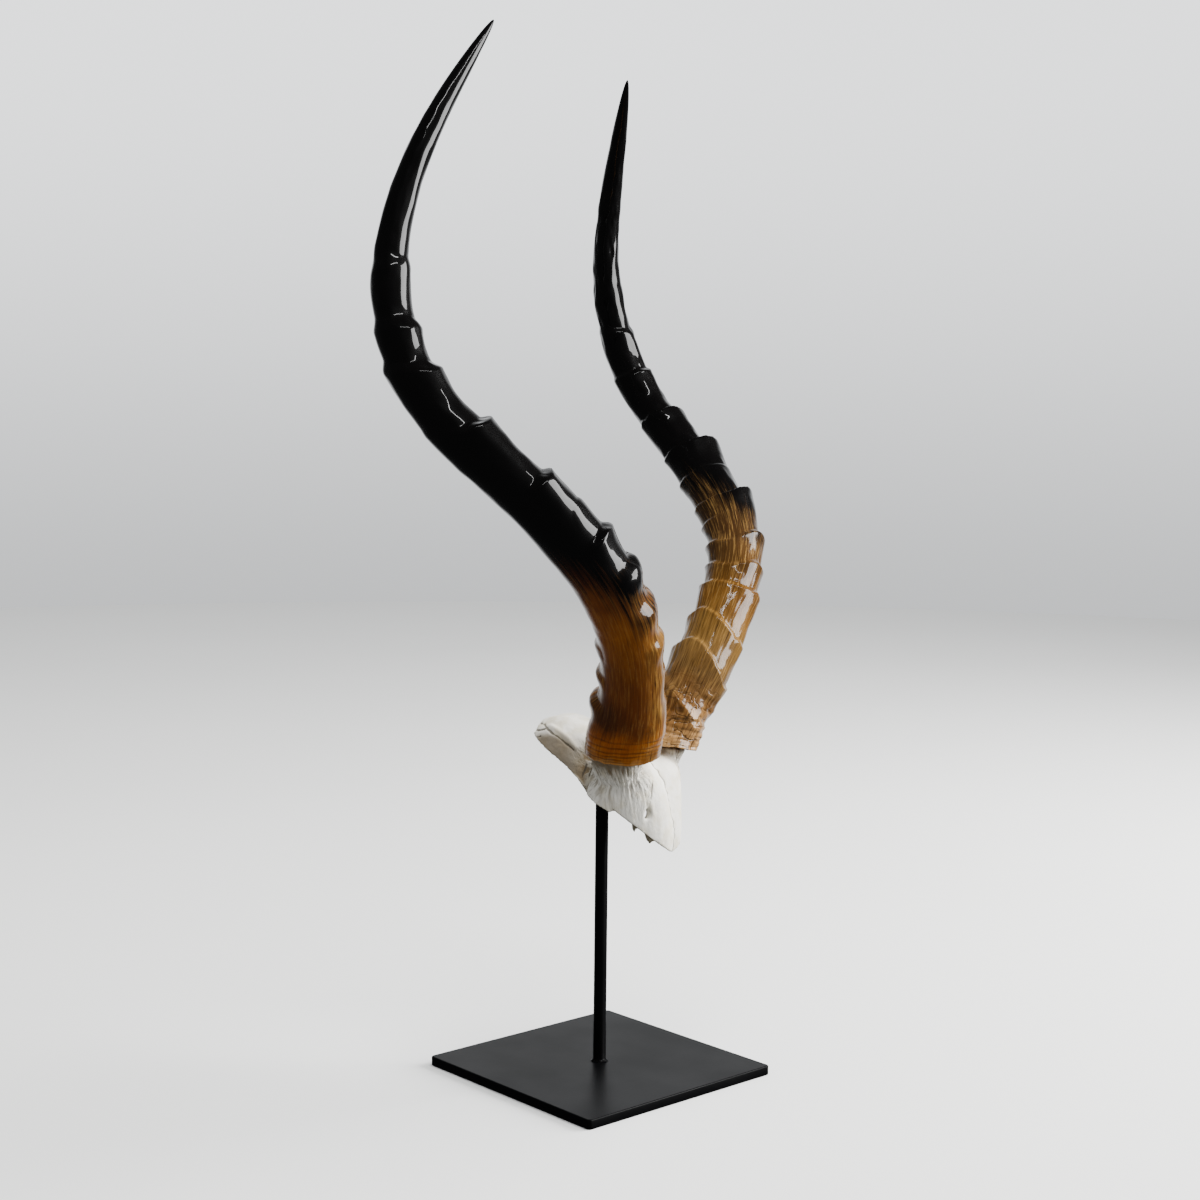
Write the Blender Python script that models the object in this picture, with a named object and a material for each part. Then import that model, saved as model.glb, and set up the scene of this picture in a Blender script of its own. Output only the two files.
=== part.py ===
"""Impala horns on a stand: two ringed horns on their cap of skull, held up by a rod on a square plate.

The origin is the middle of the plate's underside. The skull faces -Y, the animal's left side is +X
and +Z is up. Lengths at the top are in millimetres; meshes are made in metres.
"""

import math

import bmesh
import bpy
import numpy as np
from mathutils import Matrix, Vector

MM = 0.001
GAP = 0.3  # clearance between pieces that touch
CREASE = math.radians(50)  # edges sharper than this stay sharp when a surface is smoothed

# Stand
PLATE_SIDE = 150.0
PLATE_THICKNESS = 6.0
PLATE_CORNER_RADIUS = 2.5
PLATE_CORNER_STEPS = 4
PLATE_EDGE_ROUNDING = 0.8
PLATE_TURN = math.radians(-24)  # the plate lies turned a little under the skull
ROD_DIAMETER = 8.0
ROD_SIDES = 24
ROD_TOP_CHAMFER = 0.6
ROD_BELOW_ROOF = 7.4  # the rod ends this far under the top of the skull, just clear of the bone
WELD_HEIGHT = 1.6
WELD_WIDTH = 1.4
WELD_HOLLOW = (0.35, 0.45)  # share of its width and of its height where the bead dips in

# Horns: points on the spine as (out, back, up); feet and tips differ a little between the two
FOOT_LEFT = (31, -29, 202)
FOOT_RIGHT = (32, -29, 207)
HORN_SPINE = [
    (66, -47, 269),
    (109, -44, 326),
    (141, -1, 377),
    (153, 47, 429),
    (145, 65, 497),
    (125, 52, 564),
]
TIP_LEFT = (91, 28, 620)
TIP_RIGHT = (91, 31, 626)
HORN_RADIUS = 20.3
HORN_TAPER = 0.55  # power of the share of length left to the tip
BASE_SWELL = 2.4  # extra radius at the rim, most of it at the back
BASE_SWELL_LENGTH = 30.0  # and how fast that dies away up the horn
FOOT_TILT_OUT = math.radians(10)  # how the plane of the rim leans
FOOT_TILT_FORWARD = math.radians(5)
FOOT_BLEND_LENGTH = 45.0  # above the rim the sections turn square to the spine
HORN_STATIONS = 84
HORN_SIDES = 20

# Growth rings: how far up the horn each crest stands, and how proud it is at the front
RING_HEIGHT = 2.8
RING_RISE = 15.0  # a ring swells slowly from below and drops off steeply above its crest
RING_FALL = 4.0
RING_BACK_SHARE = 0.3  # share of the height that is left at the back of the horn
RING_SINK = 0.35  # share of the height by which the horn is slimmer between rings
RING_FADE = 0.35  # the rings get lower over this last share of the horn's length
RINGS_LEFT = (28, 45, 60, 76, 92, 109, 128, 146, 163, 182, 203, 224, 258, 295, 325, 355)
RINGS_RIGHT = (24, 42, 60, 83, 113, 137, 161, 199, 243, 275, 299, 320, 349)

# Skull cap: rows across its left half from the middle outwards, as (out, back, up), from the
# point of the forehead, up it, over the crown between the horns, and back along the braincase
SKULL_ROWS = [
    [(0, -46, 136), (12, -46, 137), (23, -38, 138), (31, -28, 139), (36, -15, 140)],
    [(0, -47.5, 153), (12, -48, 153), (24, -40, 154), (33, -29, 155), (39, -14, 156)],
    [(0, -45, 169), (12, -47.5, 169), (26, -41, 169), (36, -29, 168), (42, -13, 166)],
    [(0, -41, 183), (12, -45, 183), (27, -41, 183), (38, -28, 180), (43, -12, 172)],
    [(0, -34, 194), (12, -39, 195), (27, -37, 194), (38, -24, 189), (43, -9, 175)],
    [(0, -22, 205), (11, -24, 206), (24, -24, 204), (35, -16, 194), (40, -3, 175)],
    [(0, -8, 213), (10, -8, 213), (20, -7, 209), (29, -3, 197), (34, 6, 172)],
    [(0, 8, 218), (9, 8, 217.5), (17, 9, 213), (24, 12, 201), (28, 18, 168)],
    [(0, 21, 222), (9, 21, 221.5), (17, 22, 217), (23, 24, 206), (26, 28, 168)],
    [(0, 32, 221), (8, 32, 220.5), (15, 33, 216), (21, 35, 205), (24, 38, 168)],
    [(0, 40, 218), (7, 40, 217), (13, 40, 213), (18, 41, 203), (22, 43, 168)],
]
SKULL_THICKNESS = 5.0
SKULL_STEPS_ALONG = 30
SKULL_STEPS_ACROSS = 9
SEAT_RADIUS = 26.0  # round each horn the shell is cut back to just under the rim
SEAT_DEPTH = 1.2
SEAT_TOP = 40.0
PEDICLE_RADIUS = 17.0  # the bone core under each horn, narrower below
PEDICLE_BOTTOM_RADIUS = 12.0
PEDICLE_LENGTH = 17.0
PEDICLE_SET_BACK = 5.0  # the core stands behind the middle of the horn, so the rim overhangs in front
COLUMN_SIDES = 28

# Saw cuts: each is (height over the rod, climb towards the back, climb towards the left)
LONG_CUT = (186.0, 0.63, 0.0)
FACE_CUT_LEFT = (174.3, 0.68, 0.41)
FACE_CUT_RIGHT = (174.3, 0.68, -0.41)
SAW_MEETING = -24.0  # (back) the long cut is behind this and the two face cuts are ahead of it
SAW_OVERLAP = 1.5
SAW_REACH = 100.0
SAW_BOTTOM = 100.0

BONE = ("bleached_bone", (0.78, 0.74, 0.66, 1), 0.7, 0.0)
HORN = ("lacquered_horn", (0.09, 0.035, 0.012, 1), 0.15, 0.0)
STEEL = ("black_powder_coat", (0.02, 0.02, 0.021, 1), 0.45, 0.0)


def clear_scene():
    for thing in list(bpy.data.objects):
        bpy.data.objects.remove(thing, do_unlink=True)


def make_material(name, colour, roughness, metallic):
    material = bpy.data.materials.new(name)
    material.use_nodes = True
    shader = material.node_tree.nodes["Principled BSDF"]
    shader.inputs["Base Color"].default_value = colour
    shader.inputs["Roughness"].default_value = roughness
    shader.inputs["Metallic"].default_value = metallic
    return material


def make_object(name, mesh_builder, material=None, smooth=False, closed=True):
    """An object whose mesh is the finished bmesh; a closed one has its faces turned outwards."""
    if closed:
        bmesh.ops.recalc_face_normals(mesh_builder, faces=mesh_builder.faces)
    mesh = bpy.data.meshes.new(name)
    mesh_builder.to_mesh(mesh)
    mesh_builder.free()
    thing = bpy.data.objects.new(name, mesh)
    bpy.context.scene.collection.objects.link(thing)
    if material:
        mesh.materials.append(material)
    if smooth:
        mesh.shade_smooth()
        mesh.set_sharp_from_angle(angle=CREASE)
    return thing


def hide_helper(thing):
    thing.hide_render = True
    thing.display_type = "WIRE"


def natural_spline(points, where):
    """Reads the smooth curve through evenly numbered points at the places in where (0 is the first)."""
    points = np.asarray(points, float)
    last = len(points) - 1
    system = np.eye(last + 1)
    right_side = np.zeros_like(points)
    for i in range(1, last):
        system[i, i - 1 : i + 2] = (1, 4, 1)
        right_side[i] = 6 * (points[i - 1] - 2 * points[i] + points[i + 1])
    bend = np.linalg.solve(system, right_side)
    start = np.clip(np.floor(where).astype(int), 0, last - 1)
    after = (np.asarray(where) - start)[:, None]
    before = 1 - after
    return (
        before * points[start]
        + after * points[start + 1]
        + (before**3 - before) / 6 * bend[start]
        + (after**3 - after) / 6 * bend[start + 1]
    )


def even_spine(side):
    """The spine's points at equal steps, and how far up it each is; side is +1 left, -1 right."""
    foot, tip = (FOOT_LEFT, TIP_LEFT) if side > 0 else (FOOT_RIGHT, TIP_RIGHT)
    points = [foot, *HORN_SPINE, tip]
    fine = natural_spline(points, np.linspace(0, len(points) - 1, 800))
    fine *= (side, 1, 1)
    lengths = np.concatenate([[0], np.cumsum(np.linalg.norm(np.diff(fine, axis=0), axis=1))])
    steps = np.linspace(0, lengths[-1], HORN_STATIONS + 1)
    even = np.stack([np.interp(steps, lengths, fine[:, axis]) for axis in range(3)], axis=1)
    return even, steps


def ring_swell(distance, crests):
    """How far the rings lift the horn's surface at a distance from its base, from 0 to 1."""
    lift = 0.0
    for crest in crests:
        past = distance - crest
        share = 1 + past / RING_RISE if past < 0 else 1 - past / RING_FALL
        lift = max(lift, share)
    return lift * lift * (3 - 2 * lift) if lift > 0 else 0.0


def foot_axis(side):
    """The direction square to the rim of a horn."""
    return Vector((side * math.tan(FOOT_TILT_OUT), -math.tan(FOOT_TILT_FORWARD), 1)).normalized()


def blend_in(distance, length):
    """A smooth step from 0 to 1 over a length."""
    share = min(1.0, distance / length)
    return share * share * (3 - 2 * share)


def section_frame(side, tangent, distance):
    """The directions of a horn's section: towards its front, and across it."""
    straight = Vector(tangent).normalized()
    along = foot_axis(side).lerp(straight, blend_in(distance, FOOT_BLEND_LENGTH)).normalized()
    front = Vector((0, -1, 0))
    front = (front - front.dot(along) * along).normalized()
    return front, along.cross(front)


def section_radius(facing, distance, length, crests):
    """The horn's radius at a distance from its base; facing is 1 in front and 0 at the back."""
    left = 1 - distance / length
    height = RING_HEIGHT * min(1.0, left / RING_FADE)
    share = RING_BACK_SHARE + (1 - RING_BACK_SHARE) * facing
    rings = height * (ring_swell(distance, crests) * share - RING_SINK)
    rim = BASE_SWELL * math.exp(-distance / BASE_SWELL_LENGTH)
    return HORN_RADIUS * left**HORN_TAPER + rings + rim * (1.5 - facing)


def build_horn(name, side, crests, material):
    """One horn: rounds of points along the spine, thicker at each ring and most of all in front."""
    spine, steps = even_spine(side)
    tangents = np.gradient(spine, axis=0)
    mesh_builder = bmesh.new()
    rounds = []
    for i in range(HORN_STATIONS):
        distance = float(steps[i])
        front, across = section_frame(side, tangents[i], distance)
        ring = []
        for j in range(HORN_SIDES):
            angle = 2 * math.pi * j / HORN_SIDES
            facing = 0.5 + 0.5 * math.cos(angle)
            radius = section_radius(facing, distance, float(steps[-1]), crests)
            outward = math.cos(angle) * front + math.sin(angle) * across
            ring.append(mesh_builder.verts.new((Vector(spine[i]) + radius * outward) * MM))
        rounds.append(ring)
    tip = mesh_builder.verts.new(Vector(spine[-1]) * MM)
    for low, high in zip(rounds, rounds[1:]):
        for j in range(HORN_SIDES):
            k = (j + 1) % HORN_SIDES
            mesh_builder.faces.new((low[j], low[k], high[k], high[j]))
    for j in range(HORN_SIDES):
        mesh_builder.faces.new((rounds[-1][j], rounds[-1][(j + 1) % HORN_SIDES], tip))
    mesh_builder.faces.new(rounds[0])
    return make_object(name, mesh_builder, material, smooth=True)


def horn_foot(side):
    """The middle of a horn's base and the direction square to its rim."""
    out, back, up = FOOT_LEFT if side > 0 else FOOT_RIGHT
    return Vector((side * out, back, up)), foot_axis(side)


def column(name, foot, along, reach, radii):
    """A column on the line from foot along a direction: reach is where it starts and ends."""
    mesh_builder = bmesh.new()
    middle = foot + along * (reach[0] + reach[1]) / 2
    turn = along.to_track_quat("Z", "Y").to_matrix().to_4x4()
    bmesh.ops.create_cone(
        mesh_builder,
        cap_ends=True,
        segments=COLUMN_SIDES,
        radius1=radii[0] * MM,
        radius2=radii[1] * MM,
        depth=(reach[1] - reach[0]) * MM,
        matrix=Matrix.Translation(middle * MM) @ turn,
    )
    return make_object(name, mesh_builder)


def sawn_away(name, cut, outs, backs):
    """What one saw cut takes off: a block under the cut, over a range out and a range back."""
    over_rod, climb_back, climb_left = cut
    corners = [(outs[0], backs[0]), (outs[1], backs[0]), (outs[1], backs[1]), (outs[0], backs[1])]
    mesh_builder = bmesh.new()
    top = []
    bottom = []
    for out, back in corners:
        height = over_rod + climb_back * back + climb_left * out
        top.append(mesh_builder.verts.new(Vector((out, back, height)) * MM))
        bottom.append(mesh_builder.verts.new(Vector((out, back, SAW_BOTTOM)) * MM))
    mesh_builder.faces.new(top)
    mesh_builder.faces.new(bottom)
    for i in range(4):
        j = (i + 1) % 4
        mesh_builder.faces.new((top[i], top[j], bottom[j], bottom[i]))
    return make_object(name, mesh_builder)


def skull_surface():
    """The cap's outer surface, both halves, as one sheet of faces."""
    across = np.linspace(0, len(SKULL_ROWS[0]) - 1, SKULL_STEPS_ACROSS + 1)
    along = np.linspace(0, len(SKULL_ROWS) - 1, SKULL_STEPS_ALONG + 1)
    rows = np.array([natural_spline(row, across) for row in SKULL_ROWS])
    grid = np.stack([natural_spline(rows[:, j], along) for j in range(rows.shape[1])], axis=1)
    grid = np.concatenate([grid[:, :0:-1] * (-1, 1, 1), grid], axis=1)
    mesh_builder = bmesh.new()
    verts = [[mesh_builder.verts.new(Vector(place) * MM) for place in row] for row in grid]
    for low, high in zip(verts, verts[1:]):
        for j in range(len(low) - 1):
            mesh_builder.faces.new((low[j], low[j + 1], high[j + 1], high[j]))
    return mesh_builder


def add_boolean(thing, other, operation):
    modifier = thing.modifiers.new(f"{operation.lower()}_{other.name}", "BOOLEAN")
    modifier.operation = operation
    modifier.object = other
    hide_helper(other)


def build_skull_cap(material):
    """The cap: a bone shell with a column under each horn, sawn off below and flat where horns sit."""
    cap = make_object("skull_cap", skull_surface(), material, smooth=True, closed=False)
    shell = cap.modifiers.new("thickness", "SOLIDIFY")
    shell.thickness = SKULL_THICKNESS * MM
    shell.offset = -1
    sides = {"left": 1, "right": -1}
    for label, side in sides.items():
        foot, along = horn_foot(side)
        radii = (SEAT_RADIUS, SEAT_RADIUS)
        seat = column(f"seat_{label}", foot, along, (-SEAT_DEPTH, SEAT_TOP), radii)
        add_boolean(cap, seat, "DIFFERENCE")
    for label, side in sides.items():
        foot, along = horn_foot(side)
        foot += PEDICLE_SET_BACK * along.cross(Vector((1, 0, 0))).normalized()
        radii = (PEDICLE_BOTTOM_RADIUS, PEDICLE_RADIUS)
        pedicle = column(f"pedicle_{label}", foot, along, (-PEDICLE_LENGTH, -GAP), radii)
        add_boolean(cap, pedicle, "UNION")
    behind = (SAW_MEETING, SAW_REACH)
    ahead = (-SAW_REACH, SAW_MEETING + SAW_OVERLAP)
    cuts = {
        "saw_long": (LONG_CUT, (-SAW_REACH, SAW_REACH), behind),
        "saw_face_left": (FACE_CUT_LEFT, (-SAW_OVERLAP, SAW_REACH), ahead),
        "saw_face_right": (FACE_CUT_RIGHT, (-SAW_REACH, SAW_OVERLAP), ahead),
    }
    for label, cut in cuts.items():
        add_boolean(cap, sawn_away(label, *cut), "DIFFERENCE")
    return cap


def build_base_plate(material):
    mesh_builder = bmesh.new()
    bmesh.ops.create_cube(mesh_builder, size=1)
    size = Vector((PLATE_SIDE, PLATE_SIDE, PLATE_THICKNESS)) * MM
    bmesh.ops.scale(mesh_builder, vec=size, verts=mesh_builder.verts)
    corners = [e for e in mesh_builder.edges if abs(e.verts[0].co.z - e.verts[1].co.z) > MM]
    bmesh.ops.bevel(
        mesh_builder,
        geom=corners,
        offset=PLATE_CORNER_RADIUS * MM,
        segments=PLATE_CORNER_STEPS,
        affect="EDGES",
    )
    plate = make_object("base_plate", mesh_builder, material, smooth=True)
    plate.location.z = PLATE_THICKNESS / 2 * MM
    plate.rotation_euler.z = PLATE_TURN
    rounding = plate.modifiers.new("eased_edges", "BEVEL")
    rounding.width = PLATE_EDGE_ROUNDING * MM
    rounding.segments = 2
    rounding.limit_method = "ANGLE"
    rounding.angle_limit = CREASE
    return plate


def rod_top():
    """How high the rod reaches: just under the roof of the cap over the plate's middle."""
    along = np.linspace(0, len(SKULL_ROWS) - 1, 400)
    roof = natural_spline([row[0] for row in SKULL_ROWS], along)
    over = roof[np.argmin(np.abs(roof[:, 1]))]
    return float(over[2]) - ROD_BELOW_ROOF


def build_stem_rod(material):
    """The rod, turned from its outline: a small weld bead at its foot and a chamfer at its top."""
    radius = ROD_DIAMETER / 2
    foot = PLATE_THICKNESS + GAP
    top = rod_top()
    outline = [
        (0, foot),
        (radius + WELD_WIDTH, foot),
        (radius + WELD_WIDTH * WELD_HOLLOW[0], foot + WELD_HEIGHT * WELD_HOLLOW[1]),
        (radius, foot + WELD_HEIGHT),
        (radius, top - ROD_TOP_CHAMFER),
        (radius - ROD_TOP_CHAMFER, top),
        (0, top),
    ]
    mesh_builder = bmesh.new()
    verts = [mesh_builder.verts.new(Vector((across, 0, up)) * MM) for across, up in outline]
    edges = [mesh_builder.edges.new(pair) for pair in zip(verts, verts[1:])]
    bmesh.ops.spin(
        mesh_builder,
        geom=verts + edges,
        axis=(0, 0, 1),
        cent=(0, 0, 0),
        angle=2 * math.pi,
        steps=ROD_SIDES,
        use_merge=True,
    )
    bmesh.ops.remove_doubles(mesh_builder, verts=mesh_builder.verts, dist=0.00001)
    return make_object("stem_rod", mesh_builder, material, smooth=True)


def main():
    clear_scene()
    steel = make_material(*STEEL)
    bone = make_material(*BONE)
    horn = make_material(*HORN)
    build_base_plate(steel)
    build_stem_rod(steel)
    build_skull_cap(bone)
    build_horn("horn_left", 1, RINGS_LEFT, horn)
    build_horn("horn_right", -1, RINGS_RIGHT, horn)


main()
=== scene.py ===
"""Impala horns on a display stand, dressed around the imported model.

Two ringed, lacquered horns stand on a sawn cap of bleached skull, which a thin black rod holds up
over a square black plate. The skull faces -Y, the animal's left is +X and +Z is up. Sizes are in
millimetres and turn to metres when a mesh is made.
"""

import itertools
import logging
import math
from dataclasses import dataclass, field
from enum import Enum
from typing import Any

import bmesh
import bpy
import numpy as np
from mathutils import Matrix, Vector


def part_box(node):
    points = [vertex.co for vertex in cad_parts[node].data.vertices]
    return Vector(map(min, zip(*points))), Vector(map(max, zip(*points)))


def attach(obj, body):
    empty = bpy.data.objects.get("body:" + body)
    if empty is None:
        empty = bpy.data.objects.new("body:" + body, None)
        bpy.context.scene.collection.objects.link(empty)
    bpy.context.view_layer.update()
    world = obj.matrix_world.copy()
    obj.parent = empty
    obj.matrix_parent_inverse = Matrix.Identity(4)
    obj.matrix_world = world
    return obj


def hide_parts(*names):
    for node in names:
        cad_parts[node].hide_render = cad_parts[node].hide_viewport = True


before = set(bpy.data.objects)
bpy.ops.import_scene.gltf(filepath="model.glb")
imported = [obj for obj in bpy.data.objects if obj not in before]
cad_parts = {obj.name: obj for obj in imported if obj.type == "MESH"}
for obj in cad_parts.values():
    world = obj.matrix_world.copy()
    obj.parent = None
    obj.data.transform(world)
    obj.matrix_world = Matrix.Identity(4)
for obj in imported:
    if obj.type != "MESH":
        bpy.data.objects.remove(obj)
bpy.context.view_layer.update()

LOG = logging.getLogger("impala_horns")
MM = 0.001
BODY = "root"

Point = tuple[float, float, float]
Socket = bpy.types.NodeSocket

# Blender's Mix node set to mix colours, and its sockets then
COLOURS = {"data_type": "RGBA"}
MIX_FACTOR = 0
MIX_A = 6
MIX_B = 7
MIX_RESULT = 2

# Blender's Map Range node set to ease in and out
SOFT = {"interpolation_type": "SMOOTHSTEP"}


class Side(Enum):
    """The animal's own left and right. The value is the sign of X there."""

    LEFT = 1
    RIGHT = -1


# ---------------------------------------------------------------- small tools


def linear(hex_colour: str) -> tuple[float, float, float, float]:
    """Turns an sRGB hex colour into a linear one.

    Args:
        hex_colour: six hex digits, such as "#a0b0c0".

    Returns:
        Linear red, green and blue, and an alpha of 1.
    """
    channels = [int(hex_colour[i : i + 2], 16) / 255 for i in (1, 3, 5)]
    lit = [c / 12.92 if c <= 0.04045 else ((c + 0.055) / 1.055) ** 2.4 for c in channels]
    return (lit[0], lit[1], lit[2], 1.0)


def add_node(
    tree: bpy.types.NodeTree,
    kind: str,
    settings: dict[str, Any] | None = None,
    inputs: dict[str | int, Any] | None = None,
) -> bpy.types.Node:
    """Adds one node with its settings and links.

    Args:
        tree: the node tree to add to.
        kind: the node's type without its ShaderNode prefix, such as "TexNoise".
        settings: the node's own properties. "stops" fills a colour ramp from (place, hex) pairs.
        inputs: for each input, by name or number, the socket that feeds it or its value.

    Returns:
        The new node.
    """
    node = tree.nodes.new("ShaderNode" + kind)
    for name, value in (settings or {}).items():
        if name != "stops":
            setattr(node, name, value)
            continue
        stops = node.color_ramp.elements
        for _ in range(len(value) - len(stops)):
            stops.new(1.0)
        for stop, (place, hex_colour) in zip(stops, value):
            stop.position = place
            stop.color = linear(hex_colour)
    for name, value in (inputs or {}).items():
        if isinstance(value, Socket):
            tree.links.new(value, node.inputs[name])
        else:
            node.inputs[name].default_value = value
    return node


def new_material(
    name: str, values: dict[str, float]
) -> tuple[bpy.types.Material, bpy.types.NodeTree, bpy.types.Node]:
    """Makes a material with a Principled shader on its output.

    Args:
        name: the material's name.
        values: the shader's plain values.

    Returns:
        The material, its node tree and the shader node.
    """
    material = bpy.data.materials.new(name)
    material.use_nodes = True
    tree = material.node_tree
    tree.nodes.clear()
    shader = add_node(tree, "BsdfPrincipled", inputs=values)
    add_node(tree, "OutputMaterial", inputs={"Surface": shader.outputs["BSDF"]})
    return material, tree, shader


def smooth_curve(points: Any, where: np.ndarray) -> np.ndarray:
    """Reads the natural spline through evenly numbered points.

    Args:
        points: the points, one a row.
        where: the places to read, where 0 is the first point and 1 the next.

    Returns:
        A point for each place.
    """
    points = np.asarray(points, float)
    last = len(points) - 1
    system = np.eye(last + 1)
    right_side = np.zeros_like(points)
    for i in range(1, last):
        system[i, i - 1 : i + 2] = (1, 4, 1)
        right_side[i] = 6 * (points[i - 1] - 2 * points[i] + points[i + 1])
    bend = np.linalg.solve(system, right_side)
    start = np.clip(np.floor(where).astype(int), 0, last - 1)
    after = (np.asarray(where) - start)[:, None]
    before = 1 - after
    straight = before * points[start] + after * points[start + 1]
    return straight + (before**3 - before) / 6 * bend[start] + (after**3 - after) / 6 * bend[start + 1]


def ease(share: np.ndarray) -> np.ndarray:
    """Eases a share smoothly from 0 to 1, and holds it there outside that range."""
    share = np.clip(share, 0.0, 1.0)
    return share * share * (3 - 2 * share)


def near(distance: np.ndarray, reach: float) -> np.ndarray:
    """How near 0 a distance is: 1 there, and fading like a bell over the reach."""
    return np.exp(-((distance / reach) ** 2))


def unit(vectors: np.ndarray) -> np.ndarray:
    """The same directions with a length of 1."""
    return vectors / np.maximum(np.linalg.norm(vectors, axis=-1, keepdims=True), 1e-12)


def distance_to_line(places: np.ndarray, line: tuple[tuple[float, ...], ...]) -> np.ndarray:
    """How far each place is from a line of straight runs.

    Args:
        places: one place a row.
        line: the line's points, in order.

    Returns:
        The distance of each place.
    """
    nearest = np.full(len(places), np.inf)
    for start, end in itertools.pairwise(np.asarray(line, float)):
        run = end - start
        share = np.clip((places - start) @ run / (run @ run), 0, 1)
        apart = np.linalg.norm(places - start - share[:, None] * run, axis=1)
        nearest = np.minimum(nearest, apart)
    return nearest


@dataclass(frozen=True)
class Bumps:
    """Soft random bumps in space, from -1 to 1, the same on each run."""

    seed: int
    octaves: int = 3
    cells: int = 48
    shift: float = 17.3  # between one layer and the next, so that their cells don't line up

    def at(self, places: np.ndarray) -> np.ndarray:
        """Reads the bumps.

        Args:
            places: one place a row, where one bump is about one unit wide.

        Returns:
            A height for each place.
        """
        table = np.random.default_rng(self.seed).uniform(-1, 1, (self.cells,) * 3)
        total = np.zeros(len(places))
        for octave in range(self.octaves):
            scaled = places * 2**octave + self.shift * octave
            cell = np.floor(scaled).astype(int)
            share = ease(scaled - cell)
            for corner in itertools.product((0, 1), repeat=3):
                weight = np.prod(np.where(corner, share, 1 - share), axis=1)
                total += weight * table[tuple(((cell + corner) % self.cells).T)] / 2**octave
        return total


def tube_faces(rows: int, count: int) -> list[list[int]]:
    """The four-cornered faces over a stack of rounds.

    Args:
        rows: how many rounds.
        count: how many points in each.

    Returns:
        The point numbers of each face.
    """
    faces = []
    for low, j in itertools.product(range(0, (rows - 1) * count, count), range(count)):
        k = (j + 1) % count
        faces.append([low + j, low + k, low + count + k, low + count + j])
    return faces


def capped_faces(rows: int, count: int) -> list[list[int]]:
    """The same with one flat face over each end, last in the list."""
    top = (rows - 1) * count
    return [*tube_faces(rows, count), list(range(count))[::-1], list(range(top, top + count))]


def show(name: str, data: Any) -> bpy.types.Object:
    """Puts a new object with this mesh, light or camera in the scene."""
    thing = bpy.data.objects.new(name, data)
    bpy.context.scene.collection.objects.link(thing)
    return thing


def make_mesh(
    name: str,
    places: np.ndarray,
    faces: list[list[int]],
    material: bpy.types.Material,
    values: dict[str, np.ndarray] | None = None,
) -> bpy.types.Object:
    """Makes one smooth object from points in millimetres.

    Args:
        name: the object's name.
        places: the points, one a row.
        faces: the point numbers of each face.
        material: what the object is made of.
        values: for each named attribute, a number or a vector for each point.

    Returns:
        The new object.
    """
    mesh = bpy.data.meshes.new(name)
    mesh.from_pydata((places * MM).tolist(), [], faces)
    mesh.shade_smooth()
    mesh.materials.append(material)
    add_values(mesh, values or {})
    return show(name, mesh)


def add_values(mesh: bpy.types.Mesh, values: dict[str, np.ndarray]) -> None:
    """Gives each point of a mesh numbers and vectors that materials can read.

    Args:
        mesh: the mesh.
        values: for each attribute's name, one number or one vector a point.
    """
    for label, numbers in values.items():
        kind, field_name = ("FLOAT", "value") if numbers.ndim == 1 else ("FLOAT_VECTOR", "vector")
        attribute = mesh.attributes.new(label, kind, "POINT")
        attribute.data.foreach_set(field_name, numbers.astype(np.float32).ravel())


def join_to_model(piece: bpy.types.Object, node: str) -> None:
    """Puts a piece in the model in the place of a plain solid.

    Args:
        piece: the piece.
        node: the plain solid that it stands for.
    """
    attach(piece, BODY)
    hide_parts(node)
    triangles = sum(len(face.vertices) - 2 for face in piece.data.polygons)
    LOG.info("%s stands for %s with %d triangles", piece.name, node, triangles)


# ---------------------------------------------------------------- finishes


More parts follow.
